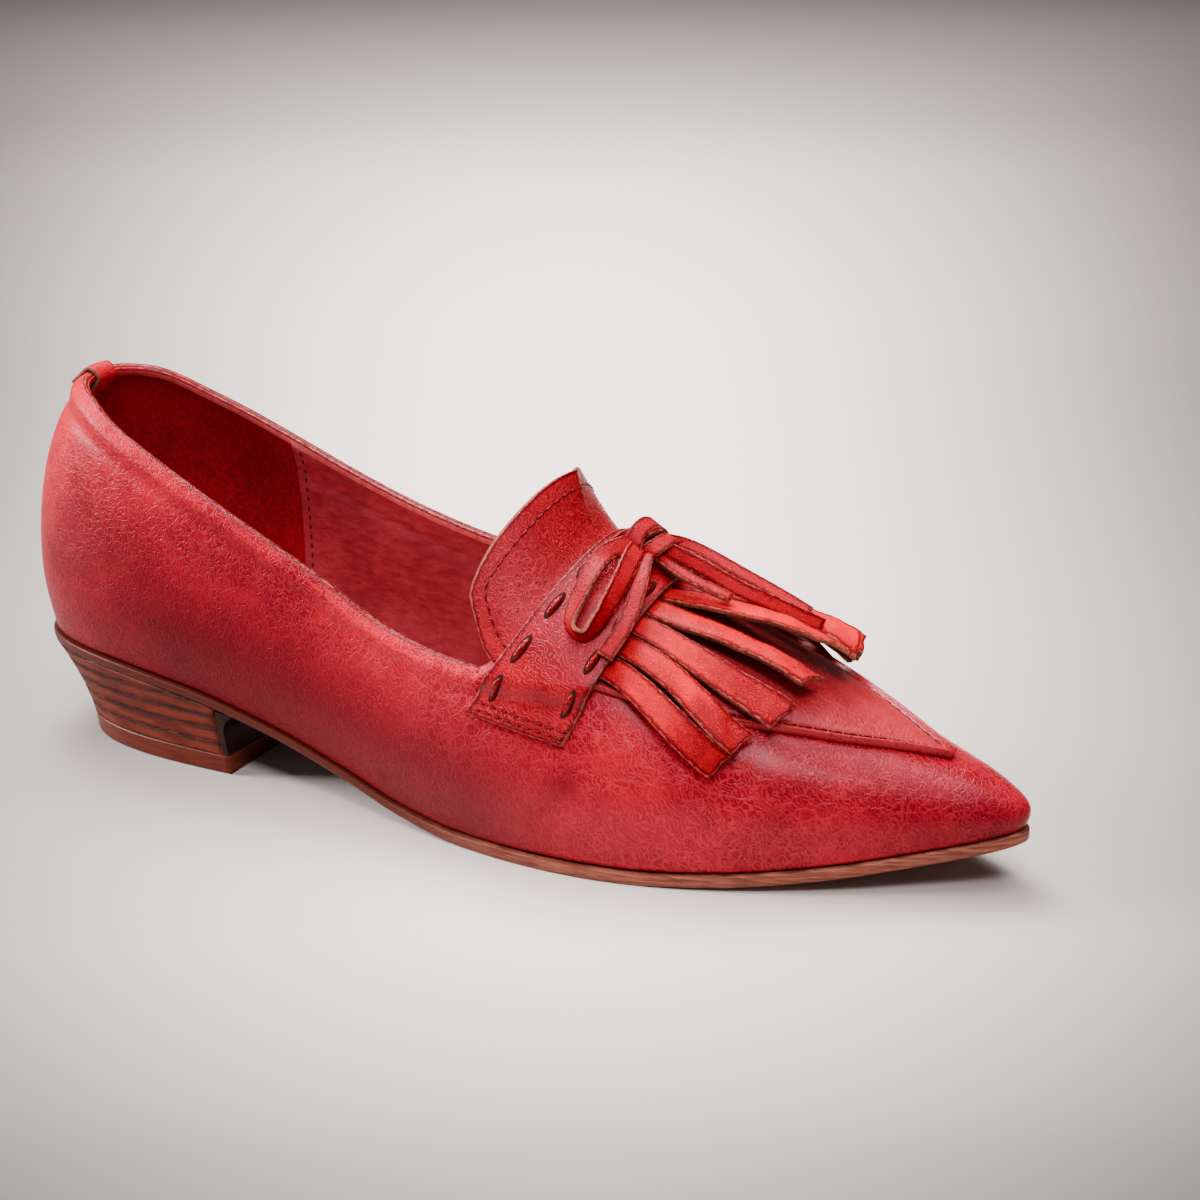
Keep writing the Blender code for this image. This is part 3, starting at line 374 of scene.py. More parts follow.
def mix(tree, factor, a, b, kind="MIX"):
    """A mix of two colours."""
    props = {"data_type": "RGBA", "blend_type": kind}
    return add(tree, "ShaderNodeMix", props, i0=factor, i6=a, i7=b).outputs[2]


def step(tree, value, low, high, start=0.0, end=1.0):
    """A soft step of a value from low to high."""
    node = add(
        tree, "ShaderNodeMapRange", {"interpolation_type": "SMOOTHSTEP"},
        Value=value, From_Min=low, From_Max=high, To_Min=start, To_Max=end,
    )
    return node.outputs[0]


def noise(tree, vector, scale, detail=2.0, roughness=0.5):
    """A cloudy value around one half."""
    look = {"Scale": scale, "Detail": detail, "Roughness": roughness}
    return add(tree, "ShaderNodeTexNoise", Vector=vector, **look)


def new_group(name, inputs, outputs):
    """An empty node group with named sockets."""
    group = bpy.data.node_groups.new(name, "ShaderNodeTree")
    for label, kind, default in inputs:
        socket = group.interface.new_socket(label, in_out="INPUT", socket_type=kind)
        if default is not None:
            socket.default_value = default
    for label, kind in outputs:
        group.interface.new_socket(label, in_out="OUTPUT", socket_type=kind)
    return group, group.nodes.new("NodeGroupInput"), group.nodes.new("NodeGroupOutput")


FLOAT, VECTOR = "NodeSocketFloat", "NodeSocketVector"
print("node helpers ready")

# %% [markdown]
# ## Leather grain
# This leather was shrunken and waxed. Its surface is drawn up into fine raised threads that
# wander like fingerprints, with small pits between them, and the wax is paler on the threads.
# The crests of a wave that is strongly distorted wander the same way. A web of cells, bent by
# a noise, gives the coarser net where the leather flexes. Both live in one group, used by
# every panel. The sizes in it are shares of the width of one thread, so it grows as a whole.

# %% The grain group
grain, inlet, outlet = new_group(
    "wandering_grain",
    [("Vector", VECTOR, None), ("Size", FLOAT, 0.0011), ("Net", FLOAT, 0.5)],
    [("Lines", FLOAT), ("Pits", FLOAT), ("Height", FLOAT)],
)
where, thread_size = inlet.outputs["Vector"], inlet.outputs["Size"]
per_metre = calc(grain, "DIVIDE", 1.0, thread_size)
drift = noise(grain, where, times(grain, per_metre, 0.3), 3.0).outputs["Color"]
centred = add(grain, "ShaderNodeVectorMath", {"operation": "SUBTRACT"}, i0=drift)
centred.inputs[1].default_value = (0.5, 0.5, 0.5)
pushed = add(grain, "ShaderNodeVectorMath", {"operation": "SCALE"}, i0=centred.outputs[0])
grain.links.new(times(grain, thread_size, 2.6), pushed.inputs["Scale"])
bent = add(
    grain, "ShaderNodeVectorMath", {"operation": "ADD"}, i0=where, i1=pushed.outputs[0],
).outputs[0]
ridges = add(
    grain, "ShaderNodeTexWave", {"bands_direction": "DIAGONAL"}, Vector=where,
    Scale=times(grain, per_metre, 0.363), Distortion=24.0, Detail=2.5,
    Detail_Scale=0.7, Detail_Roughness=0.6,
).outputs["Fac"]
sparse = noise(grain, where, 110.0, 3.0).outputs["Fac"]
threads = times(grain, step(grain, ridges, 0.40, 0.95), step(grain, sparse, 0.34, 0.58, 0.5, 1.0))
web = add(
    grain, "ShaderNodeTexVoronoi", {"feature": "DISTANCE_TO_EDGE"}, Vector=bent,
    Scale=times(grain, per_metre, 0.42),
).outputs["Distance"]
patch = noise(grain, where, 70.0, 3.0).outputs["Fac"]
wanted = calc(grain, "ADD", patch, calc(grain, "SUBTRACT", inlet.outputs["Net"], 0.5))
net = times(grain, step(grain, web, 0.01, 0.09, 1.0, 0.0), step(grain, wanted, 0.42, 0.62))
lines = calc(grain, "MAXIMUM", threads, net)
pores = add(
    grain, "ShaderNodeTexVoronoi", Vector=bent, Scale=times(grain, per_metre, 0.7),
).outputs["Distance"]
pits = times(grain, step(grain, pores, 0.10, 0.26, 1.0, 0.0), step(grain, patch, 0.44, 0.60))
height = calc(grain, "SUBTRACT", lines, times(grain, pits, 1.2))
for name, value in (("Lines", lines), ("Pits", pits), ("Height", height)):
    grain.links.new(value, outlet.inputs[name])
print("grain group:", len(grain.nodes), "nodes")

# %% [markdown]
# ## Burnish
# After lasting, the leather is rubbed with dark wax. The wax stays in broad cloudy patches and
# is rubbed off the high places. A second group holds these clouds, so that the patches run on
# from panel to panel in the same way.

# %% The burnish group
burnish, inlet, outlet = new_group(
    "burnish", [("Vector", VECTOR, None)], [("Cloud", FLOAT), ("Smear", FLOAT)],
)
where = inlet.outputs["Vector"]
broad, fine, smeared = (
    noise(burnish, where, *look).outputs["Fac"]
    for look in ((22.0, 3.0, 0.55), (160.0, 4.0, 0.6), (38.0, 5.0, 0.65))
)
blended = calc(burnish, "ADD", times(burnish, broad, 0.72), times(burnish, fine, 0.28))
burnish.links.new(step(burnish, blended, 0.36, 0.64), outlet.inputs["Cloud"])
burnish.links.new(step(burnish, smeared, 0.52, 0.74), outlet.inputs["Smear"])
print("burnish group:", len(burnish.nodes), "nodes")


# %% Leather materials
def new_material(name, roughness, tint=(1.0, 1.0, 1.0), shine=0.5, coat=0.0, coat_roughness=0.3):
    """A material with its shader and the object's own coordinates."""
    material = bpy.data.materials.new(name)
    material.use_nodes = True
    tree = material.node_tree
    shader = tree.nodes["Principled BSDF"]
    for label, value in (
        ("Roughness", roughness), ("Specular Tint", (*tint, 1)), ("Specular IOR Level", shine),
        ("Coat Weight", coat), ("Coat Roughness", coat_roughness),
    ):
        shader.inputs[label].default_value = value
    return material, tree, shader, add(tree, "ShaderNodeTexCoord").outputs["Object"]


def use(tree, group, vector, **inputs):
    """A group's node, reading a vector."""
    return add(tree, "ShaderNodeGroup", {"node_tree": group}, Vector=vector, **inputs).outputs


def bump(tree, shader, height, strength, distance):
    """Give the shader a relief."""
    node = add(tree, "ShaderNodeBump", Height=height, Strength=strength, Distance=distance)
    tree.links.new(node.outputs["Normal"], shader.inputs["Normal"])


WAX_SHINE, LINING_SHINE, THREAD_SHINE, BROWN_SHINE = (
    (1.0, 0.48, 0.66), (1.0, 0.55, 0.55), (1.0, 0.35, 0.38), (1.0, 0.60, 0.48),
)


def leather(
    name, deep, fresh, thread, size=0.0011, net=0.5, lines=0.45,
    roughness=0.30, relief=0.8, shine=0.2, flex=False, rubbed=(0.36, 0.045, 0.03),
):
    """Waxed leather: deep and fresh are its clouds, thread is the colour of its raised lines.

    With flex, the piece is the upper: its net shows most where the foot bends it, it has painted
    shade low on its sides, and it is more polished over the toes.
    """
    material, tree, shader, place = new_material(
        name, roughness, WAX_SHINE, shine, coat_roughness=0.24 if flex else 0.3,
    )
    grained = use(tree, grain, place, Size=size, Net=net)
    clouds = use(tree, burnish, place)
    dark, darker = ((*(c * part for c in deep), 1) for part in (0.45, 0.3))
    along = add(tree, "ShaderNodeSeparateXYZ", Vector=place).outputs["X"]
    rim = add(tree, "ShaderNodeAttribute", {"attribute_name": "inside"}).outputs["Fac"]
    drawn = times(tree, grained["Lines"], lines)
    if flex:
        bent_zone = times(
            tree, step(tree, along, 0.04, 0.10), step(tree, along, 0.155, 0.20, 1.0, 0.35), 0.75,
        )
        drawn = times(tree, drawn, calc(tree, "ADD", 0.4, bent_zone))
    color = mix(tree, clouds["Cloud"], (*deep, 1), (*fresh, 1))
    color = mix(tree, drawn, color, (*thread, 1))
    color = mix(tree, times(tree, grained["Pits"], 0.7), color, darker)
    color = mix(tree, times(tree, clouds["Smear"], 0.4), color, darker)
    if flex:
        # Painted shade: the upper darkens low on its sides towards the sole, less towards the toes
        # and at the heel.
        low = times(
            tree, step(tree, rim, 16.0, 52.0, 0.90, 0.0),
            step(tree, along, 0.10, 0.15, 1.0, 0.42), step(tree, along, -0.03, 0.02, 0.4, 1.0),
        )
        color = mix(tree, low, color, dark)
    broken = calc(tree, "SUBTRACT", noise(tree, place, 700.0, 3.0).outputs["Fac"], 0.5)
    rim = calc(tree, "ADD", rim, times(tree, broken, 1.2))
    color = mix(tree, step(tree, rim, 0.35, 1.2, 0.85, 0.0), color, darker)
    color = mix(tree, step(tree, rim, 0.02, 0.30, 0.9, 0.0), color, (*rubbed, 1))
    tree.links.new(color, shader.inputs["Base Color"])
    rough = calc(tree, "ADD", roughness, times(tree, clouds["Smear"], 0.12))
    if flex:
        rough = calc(tree, "SUBTRACT", rough, step(tree, along, 0.10, 0.16, 0.0, 0.10))
        tree.links.new(step(tree, along, 0.09, 0.15, 0.0, 0.08), shader.inputs["Coat Weight"])
    tree.links.new(rough, shader.inputs["Roughness"])
    bump(tree, shader, grained["Height"], relief, 0.00015)
    return material


DEEP, FRESH, THREAD_LINE = (0.18, 0.0006, 0.0070), (0.50, 0.0016, 0.0160), (0.68, 0.020, 0.042)
upper_leather = leather(
    "upper_leather", DEEP, FRESH, THREAD_LINE, net=0.64, lines=0.62, roughness=0.36,
    relief=0.50, shine=0.16, flex=True, rubbed=(0.50, 0.05, 0.03),
)
apron_leather = leather(
    "apron_leather", (0.24, 0.006, 0.012), (0.34, 0.018, 0.024), (0.48, 0.040, 0.046),
    net=0.3, lines=0.25, relief=0.35,
)
strap_leather = leather(
    "strap_leather", (0.15, 0.0004, 0.0030), (0.36, 0.0008, 0.0070), THREAD_LINE,
    size=0.0010, net=0.35, lines=0.30, relief=0.5, shine=0.25,
)
tongue_leather = leather(
    "tongue_leather", (0.18, 0.0005, 0.004), (0.32, 0.0020, 0.008), (0.50, 0.018, 0.026),
    size=0.0010, net=0.50, lines=0.40, roughness=0.40, relief=0.6, shine=0.15,
)
fringe_leather = leather(
    "fringe_leather", (0.20, 0.0004, 0.004), (0.66, 0.0014, 0.009), (0.70, 0.010, 0.018),
    size=0.0009, net=0.25, lines=0.25, roughness=0.38, relief=0.5, shine=0.08,
)
thong_leather = leather(
    "thong_leather", (0.17, 0.0004, 0.003), (0.38, 0.0014, 0.008), (0.46, 0.010, 0.016),
    size=0.0009, net=0.25, lines=0.25, roughness=0.40, relief=0.5, shine=0.10,
)
print("leathers:", [m.name for m in bpy.data.materials if m.name.endswith("leather")][:8])


# %% Linings, cut edges, thread and holes
def plain_leather(name, deep, fresh, roughness, scale, relief, streak=(1.0, 1.0, 1.0)):
    """Unwaxed leather: soft clouds and a fine tooth, drawn out along the streak."""
    material, tree, shader, place = new_material(name, roughness, LINING_SHINE, 0.25)
    drawn = add(tree, "ShaderNodeMapping", Vector=place, Scale=streak).outputs[0]
    tooth = noise(tree, drawn, scale, 4.0, 0.6).outputs["Fac"]
    cloud = noise(tree, place, 40.0, 3.0).outputs["Fac"]
    both = calc(tree, "ADD", times(tree, tooth, 0.5), times(tree, cloud, 0.5))
    color = mix(tree, step(tree, both, 0.35, 0.65), (*deep, 1), (*fresh, 1))
    tree.links.new(color, shader.inputs["Base Color"])
    bump(tree, shader, tooth, relief, 0.0003)
    return material


heel_lining = plain_leather(
    "heel_lining_suede", (0.10, 0.0009, 0.006), (0.22, 0.0022, 0.012), 0.8, 900.0, 0.6,
)
quarter_lining = plain_leather(
    "quarter_lining_leather", (0.16, 0.011, 0.020), (0.27, 0.030, 0.044), 0.55, 380.0, 0.6,
    (0.6, 1.0, 1.6),
)
sock_leather = plain_leather(
    "sock_leather", (0.78, 0.046, 0.050), (0.92, 0.095, 0.092), 0.55, 300.0, 0.3,
    (0.5, 1.3, 1.0),
)
flesh_side = plain_leather(
    "flesh_side", (0.12, 0.018, 0.014), (0.30, 0.055, 0.038), 0.85, 1200.0, 0.5,
)
cut_edge = plain_leather(
    "cut_edge", (0.045, 0.012, 0.008), (0.30, 0.085, 0.055), 0.75, 1500.0, 0.5,
)
collar_edge = plain_leather(
    "collar_edge", (0.32, 0.035, 0.045), (0.50, 0.100, 0.100), 0.5, 500.0, 0.2,
)
# The stitch holes are beads painted near black as the shade inside them; the lining's seam stitches
# use the same near black.
hole_shade_and_dark_thread = plain_leather(
    "hole_shade_and_dark_thread", (0.012, 0.001, 0.001), (0.03, 0.002, 0.002), 0.9, 900.0, 0.1,
)


def thread(name, color, roughness):
    """Waxed thread with its twist."""
    material, tree, shader, place = new_material(name, roughness, THREAD_SHINE, 0.3, 0.02, 0.15)
    twist = noise(tree, place, 2500.0, 1.0).outputs["Fac"]
    shade = mix(tree, step(tree, twist, 0.35, 0.65), (*(c * 0.5 for c in color), 1), (*color, 1))
    tree.links.new(shade, shader.inputs["Base Color"])
    bump(tree, shader, twist, 0.4, 0.0002)
    return material


red_thread = thread("red_thread", (0.20, 0.0004, 0.003), 0.30)
print("materials:", len(bpy.data.materials))


# %% Sole and heel materials
def sole_edge(name, deep, fresh, roughness, heel=None):
    """Dense sole leather, burnished in lines along its edge, and darker towards the heel."""
    material, tree, shader, place = new_material(name, roughness, BROWN_SHINE, 0.22, 0.04)
    flat = add(tree, "ShaderNodeMapping", Vector=place, Scale=(1.0, 1.0, 14.0)).outputs[0]
    grainy = noise(tree, flat, 120.0, 5.0, 0.6).outputs["Fac"]
    color = mix(tree, step(tree, grainy, 0.36, 0.66), (*deep, 1), (*fresh, 1))
    if heel:
        along = add(tree, "ShaderNodeSeparateXYZ", Vector=place).outputs["X"]
        color = mix(tree, step(tree, along, 0.07, 0.13, 1.0, 0.0), color, (*heel, 1))
    tree.links.new(color, shader.inputs["Base Color"])
    bump(tree, shader, grainy, 0.3, 0.0003)
    return material


outsole_leather = sole_edge(
    "outsole_leather", (0.12, 0.026, 0.017), (0.28, 0.082, 0.052), 0.45, (0.060, 0.008, 0.005),
)
# The breast's own brown is made near black here as painted shade, for the shadow under the heel's
# front.
painted_shade_facing = sole_edge(
    "breast_leather", (0.006, 0.0012, 0.0009), (0.016, 0.003, 0.002), 0.45,
)
lift_leather = sole_edge(
    "top_lift_leather", (0.072, 0.009, 0.004), (0.110, 0.015, 0.008), 0.42,
)


def stacked(name):
    """Stacked heel leather: smooth bands with rough dark seams between the layers."""
    material, tree, shader, place = new_material(name, 0.6, BROWN_SHINE, 0.2)
    warp = noise(tree, place, 60.0, 4.0, 0.6).outputs["Fac"]
    height = add(tree, "ShaderNodeSeparateXYZ", Vector=place).outputs["Z"]
    raised = calc(tree, "SUBTRACT", height, TOP_LIFT)
    layer = calc(tree, "ADD", calc(tree, "DIVIDE", raised, LIFT), times(tree, warp, 0.22))
    off_seam = calc(tree, "ABSOLUTE", calc(tree, "SUBTRACT", calc(tree, "FRACT", layer), 0.5))
    seam = step(tree, off_seam, 0.16, 0.46)
    flat = add(tree, "ShaderNodeMapping", Vector=place, Scale=(1.0, 1.0, 4.0)).outputs[0]
    torn = noise(tree, flat, 420.0, 6.0, 0.75).outputs["Fac"]
    dark = times(tree, seam, step(tree, torn, 0.47, 0.56))
    streak = step(tree, noise(tree, flat, 110.0, 4.0).outputs["Fac"], 0.38, 0.62)
    base = mix(tree, streak, (0.085, 0.010, 0.006, 1), (0.150, 0.020, 0.012, 1))
    base = mix(tree, times(tree, seam, 0.5), base, (0.045, 0.006, 0.004, 1))
    color = mix(tree, times(tree, dark, 0.92), base, (0.010, 0.004, 0.004, 1))
    tree.links.new(color, shader.inputs["Base Color"])
    bump(tree, shader, calc(tree, "SUBTRACT", 1.0, dark), 0.8, 0.0005)
    return material


stack_leather = stacked("stacked_leather")
print("sole and heel finishes ready")

# %% [markdown]
# ## Sheets of leather
# Most pieces are sheets: a top, an underside and a cut edge. One helper makes them all. It is
# given a function that says where each point lies at a height, and it rounds the rims the way
# a paring knife and a damp cloth do. The cut edge has a finish of its own.


# %% Helpers for meshes
def build_object(name, points, faces, materials, slots=None, merge=1e-6, inside=None):
    """A smooth closed object from points measured from the back of the shoe."""
    bm = bmesh.new()
    layer = bm.verts.layers.float.new("inside")
    verts = [bm.verts.new((x - HEEL_CENTRE, y, z)) for x, y, z in np.asarray(points)]
    for n, vert in enumerate(verts):
        vert[layer] = 9.0 if inside is None else inside[n]
    for n, face in enumerate(faces):
        corners = [v for i, v in enumerate(face) if v != face[i - 1]]
        if len(corners) > 2:
            drawn = bm.faces.new([verts[v] for v in corners])
            drawn.material_index = int(slots[n]) if slots is not None else 0
            drawn.smooth = True
    bmesh.ops.delete(bm, geom=[v for v in bm.verts if not v.link_faces], context="VERTS")
    bmesh.ops.remove_doubles(bm, verts=bm.verts, dist=merge)
    bmesh.ops.recalc_face_normals(bm, faces=bm.faces)
    if bm.calc_volume(signed=True) < 0:
        bmesh.ops.reverse_faces(bm, faces=bm.faces)
    mesh = bpy.data.meshes.new(name)
    bm.to_mesh(mesh)
    bm.free()
    for material in materials:
        mesh.materials.append(material)
    item = bpy.data.objects.new(name, mesh)
    bpy.context.collection.objects.link(item)
    return item


def rim_steps(size, count, rim=0.0004):
    """Places across a width, in shares: even, with a few close together at both rims."""
    near = np.array([0, 0.15, 0.5]) * rim / size
    inner = np.linspace(rim / size, 1 - rim / size, count)
    return np.concatenate([near, inner, 1 - near[::-1]])


def rim_drop(inside, rim):
    """How far the top sinks near the rims, in metres."""
    part = np.clip(1 - inside / rim, 0, 1)
    return rim * (1 - np.sqrt(1 - part ** 2))


def sheet_faces(rows, columns, base=0):
    """Faces of a closed sheet: its top, its underside and the edge between, with their slots."""
    at = base + np.arange(rows * columns * 2).reshape(2, rows, columns)
    faces, slots = [], []
    for layer, slot in ((0, 0), (1, 1)):
        grid = at[layer]
        corners = (grid[:-1, :-1], grid[1:, :-1], grid[1:, 1:], grid[:-1, 1:])
        quads = np.stack(corners, -1).reshape(-1, 4)
        faces += (quads if layer == 0 else quads[:, ::-1]).tolist()
        slots += [slot] * len(quads)
    border = [(0, j) for j in range(columns)] + [(i, columns - 1) for i in range(1, rows)]
    border += [(rows - 1, j) for j in range(columns - 2, -1, -1)]
    border += [(i, 0) for i in range(rows - 2, 0, -1)]
    for a, b in zip(border, border[1:] + border[:1]):
        faces.append([at[0][a], at[0][b], at[1][b], at[1][a]])
        slots.append(2)
    return faces, slots


def sheet_points(spot, length, width, thick, rows, columns, rim=0.00028):
    """Points of a closed sheet; spot(u, v, height) is its place, with u along and v across."""
    u, v = rim_steps(length, rows), rim_steps(width, columns)
    inside = np.minimum(np.minimum(u, 1 - u)[:, None] * length, np.minimum(v, 1 - v)[None] * width)
    drop = rim_drop(inside, rim)
    uu, vv = np.meshgrid(u, v, indexing="ij")
    top, under = spot(uu, vv, thick - drop), spot(uu, vv, drop * 0.6)
    points = np.concatenate([top.reshape(-1, 3), under.reshape(-1, 3)])
    return points, len(u), len(v), np.tile(inside.ravel() * 1000, 2)


def sheets(name, parts, materials):
    """One object from several closed sheets."""
    points, faces, slots, rims, base = [], [], [], [], 0
    for spots, rows, columns, inside in parts:
        drawn, kinds = sheet_faces(rows, columns, base)
        points.append(spots)
        rims.append(inside)
        faces += drawn
        slots += kinds
        base += len(spots)
    points, rims = np.concatenate(points), np.concatenate(rims)
    return build_object(name, points, faces, materials, slots, inside=rims)


def grid_sheet(name, top, under, materials):
    """One closed sheet from the rows of its top and of its underside."""
    top, under = np.array(top), np.array(under)
    faces, slots = sheet_faces(*top.shape[:2])
    points = np.concatenate([top.reshape(-1, 3), under.reshape(-1, 3)])
    return build_object(name, points, faces, materials, slots)


def finish_piece(item, slot, *nodes):
    """Put the piece under its body and hide the solids it stands for; slot is not used."""
    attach(item, "root")
    if nodes:
        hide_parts(*nodes)
    print(f"{item.name}: {len(item.data.polygons)} faces")


# %% [markdown]
# ## The upper
# The upper is drawn column by column, from the lasting margin under the foot, up the outside,
# over the rolled collar and down the lining. Columns fan out round the heel and the toe. The
# collar stands a little proud where the leather is turned over a cord. Creases are listed in
# the shoe's own lengths, where a walking foot bends the leather.

# %% Creases and swellings
CREASES = [  # along and girth of its points, depth, width
    (((0.170, -0.052), (0.166, -0.062), (0.160, -0.071)), 0.0006, 0.0030),
    (((0.196, -0.046), (0.190, -0.056), (0.183, -0.064)), 0.0005, 0.0035),
    (((0.205, -0.030), (0.200, -0.043), (0.197, -0.055)), 0.0004, 0.0030),
    (((0.172, 0.050), (0.168, 0.060), (0.162, 0.068)), 0.0005, 0.0030),
    (((0.196, 0.046), (0.190, 0.056), (0.184, 0.064)), 0.0005, 0.0035),
]


def relief(points, normals):
    """The outer skin with its creases pressed in and the leather swollen beside them."""
    moved = np.zeros(points.shape[:-1])
    for spots, depth, width in CREASES:
        along, girth = np.array(spots).T
        t = np.linspace(0, 1, 25)
        rows = np.linspace(0, 1, len(along))
        line = over_skin(np.interp(t, rows, along), np.interp(t, rows, girth))
        away = np.linalg.norm(points[..., None, :] - line, axis=-1)
        nearest = away.min(-1)
        fade = np.sin(math.pi * np.clip(t[away.argmin(-1)], 0.02, 0.98)) ** 0.5
        groove = np.exp(-(nearest / width) ** 2)
        beside = np.exp(-((nearest - 2 * width) / width) ** 2)
        moved += depth * fade * (beside * 0.45 - groove)
    return points + normals * moved[..., None]


# %% Columns of the upper
def collar_share(side, spine, turn):
    """How far up its column the wall goes to reach the collar's height."""
    v = np.linspace(0, 1, 401)
    heights = section(side, spine, turn, v)[:, 2]
    collar = INSTEP_HEIGHT * collar_height[side](share(edge(side, spine, turn)[0]))
    return float(np.interp(collar, heights, v))


def columns_of_a_side(side, fan_rays=26, quarter=62, throat=24, vamp=62, toe_rays=18):
    """Columns from the back to the toe: spine, turn, and the share of the height they reach."""
    fan, toe = HEEL_FAN * SHOE_LENGTH, TOE_FAN * SHOE_LENGTH
    behind, front = THROAT_BACK * SHOE_LENGTH, THROAT_FRONT * SHOE_LENGTH
    places = [(fan, -math.pi / 2 * (1 - k / fan_rays)) for k in range(fan_rays)]
    near_seam = SEAM_OF_LININGS + np.array([-0.0005, -0.0001, 0.0001, 0.0005])
    places += [(x, 0) for x in sorted([*np.linspace(fan, behind, quarter + 1), *near_seam])]
    found = [(spine, turn, collar_share(side, spine, turn)) for spine, turn in places]
    start = found[-1][2]
    for climb in np.arange(1, throat + 1) / throat:
        x = behind + (front - behind) * math.sin(climb * math.pi / 2) ** 0.8
        found.append((x, 0, start + (1 - start) * climb))
    found += [(x, 0, 1) for x in np.linspace(front, toe, vamp + 1)[1:]]
    found += [(toe, math.pi / 2 * k / toe_rays, 1) for k in range(1, toe_rays + 1)]
    return [(side, *column) for column in found]


SEAM_OF_LININGS = 0.055
outer_columns, inner_columns = columns_of_a_side(-1), columns_of_a_side(1)
COLUMNS = outer_columns + inner_columns[1:-1][::-1]
OUTER_ROWS = np.linspace(0.012, 1, 66)
INNER_ROWS = 1 - 0.91 * np.linspace(0, 1, 46) ** 1.5


def lining_face(side, spine, turn, top):
    """The inside of a column from the collar down, with the front lining lapped over the back."""
    rim = section(side, spine, turn, top)
    inside = section(side, spine, turn, top * INNER_ROWS)
    drop = np.linalg.norm(inside - rim, axis=1)
    wall = np.full(drop.shape, UPPER_WALL)
    if top < 1:
        wall += COLLAR_ROLL * np.exp(-(drop / 0.0035) ** 2)
    lap = spine - SEAM_OF_LININGS
    if turn == 0 and lap > 0:
        wall += 0.0007 * math.exp(-(lap / 0.012) ** 2) * np.clip(drop / 0.003, 0, 1)
        wall -= 0.0005 * np.exp(-((drop - 0.0085) / 0.0009) ** 2)
    return inside - section_normal(side, spine, turn, top * INNER_ROWS) * wall[:, None]


def foot_points(side, spine, turn, places):
    """Points at the foot of a column, each so far in from the outline and up from the sole."""
    spots = [edge(side, spine, turn) - inset * facing(side, turn) for inset, _ in places]
    return [[*spot, feather(spot[0]) + lift] for spot, (_, lift) in zip(spots, places)]


def half_width(side, spine, turn):
    """How far a column's point of the outline lies from the middle line."""
    return np.linalg.norm(edge(side, spine, turn) - (spine, swing(spine)))


def wall_stack(side, spine, turn, top):
    """A column of the wall: its outside, its rolled edge and its inside."""
    column = (side, spine, turn)
    margin = min(LASTING_MARGIN, half_width(*column) / 2)
    foot = foot_points(*column, (
        (margin, 0), (FOOT_ROUND, 0), (FOOT_ROUND * 0.55, FOOT_ROUND * 0.1),
        (FOOT_ROUND / 4, FOOT_ROUND / 3),
    ))
    outside = section(*column, top * OUTER_ROWS)
    out_normal = section_normal(*column, top * OUTER_ROWS)
    drop = tape(outside[::-1])[::-1]
    roll = ROLL_PROUD * np.exp(-((drop - 0.0028) / 0.0018) ** 2)
    roll -= ROLL_TUCK * np.exp(-((drop - 0.0068) / 0.0014) ** 2)
    open_share = min(1, (1 - top) / 0.2)
    outside = relief(outside, out_normal) + out_normal * (roll * open_share)[:, None]
    inside = lining_face(*column, top)
    middle, half = (outside[-1] + inside[0]) / 2, (outside[-1] - inside[0]) / 2
    rise = unit(outside[-1] - outside[-2]) * UPPER_WALL * 0.4
    crown = middle + half * np.cos(HALF_TURN) + rise * np.sin(HALF_TURN)
    bottom = foot_points(*column, ((UPPER_WALL * 1.1, UPPER_WALL), (margin, UPPER_WALL)))
    return np.concatenate([foot, outside, crown, inside, bottom])


ROLL_PROUD, ROLL_TUCK = 0.0009, 0.00035
HALF_TURN = np.linspace(0, math.pi, 9)[1:-1, None]
stacks = np.array([wall_stack(*column) for column in COLUMNS])
print("upper:", stacks.shape[0], "columns of", stacks.shape[1], "points")


# %% Join the columns into the upper
def make_upper():
    """The hollow upper with its four finishes.

    Its attribute "inside" tells the leather how high a place lies over the sole, in mm, for the
    painted shade low on its sides, and where the collar is rubbed.
    """
    count, height = stacks.shape[:2]
    first_crown = 4 + len(OUTER_ROWS)
    first_inner = first_crown + len(HALF_TURN)
    climbed = np.full((count, height), 30.0)
    climbed[:, 4:first_crown] = 1.6 + (stacks[:, 4:first_crown, 2] - stacks[:, 4:5, 2]) * 1000
    climbed[:, :4] = 1.6
    for i, column in enumerate(COLUMNS):
        if column[3] < 0.98:
            climbed[i, first_crown:first_inner] = (1.6, 0.7, 0.0, 0.7, 0.0, 0.7, 1.6)
    index = np.arange(count * height).reshape(count, height)
    faces, slots = [], []
    for i in range(count):
        k = (i + 1) % count
        closed = COLUMNS[i][3] == 1 and COLUMNS[k][3] == 1
        behind_seam = stacks[i, first_inner + 5, 0] < SEAM_OF_LININGS
        for row in range(height - 1):
            if closed and first_crown - 1 <= row < first_inner:
                continue
            faces.append([index[i, row], index[k, row], index[k, row + 1], index[i, row + 1]])
            if row < first_inner - 1:
                slots.append(0)
            elif row < first_inner + 4:
                slots.append(3)
            else:
                slots.append(1 if behind_seam else 2)
        faces.append([index[i, 0], index[k, 0], index[k, -1], index[i, -1]])
        slots.append(2)
    throat = THROAT_FRONT * SHOE_LENGTH
    last, first = (i for i, (_, x, _, top) in enumerate(COLUMNS) if x == throat and top == 1)
    roll_end = slice(first_crown - 1, first_inner + 1)
    faces.append([*index[last, roll_end][::-1], *index[first, roll_end]])
    slots.append(0)
    materials = [upper_leather, heel_lining, quarter_lining, collar_edge]
    points = stacks.reshape(-1, 3)
    return build_object("upper_shell", points, faces, materials, slots, 4e-5, climbed.ravel())


upper = make_upper()
finish_piece(upper, "upper", "upper")

# %% [markdown]
# ## Sole, sock and heel
# The outsole, the sock inside and the heel are stacks of level loops, each loop as long as
# the shoe's outline and moved in or out a little. The heel narrows from its seat to the
# ground in a soft curve, and its layers lie parallel to the floor.


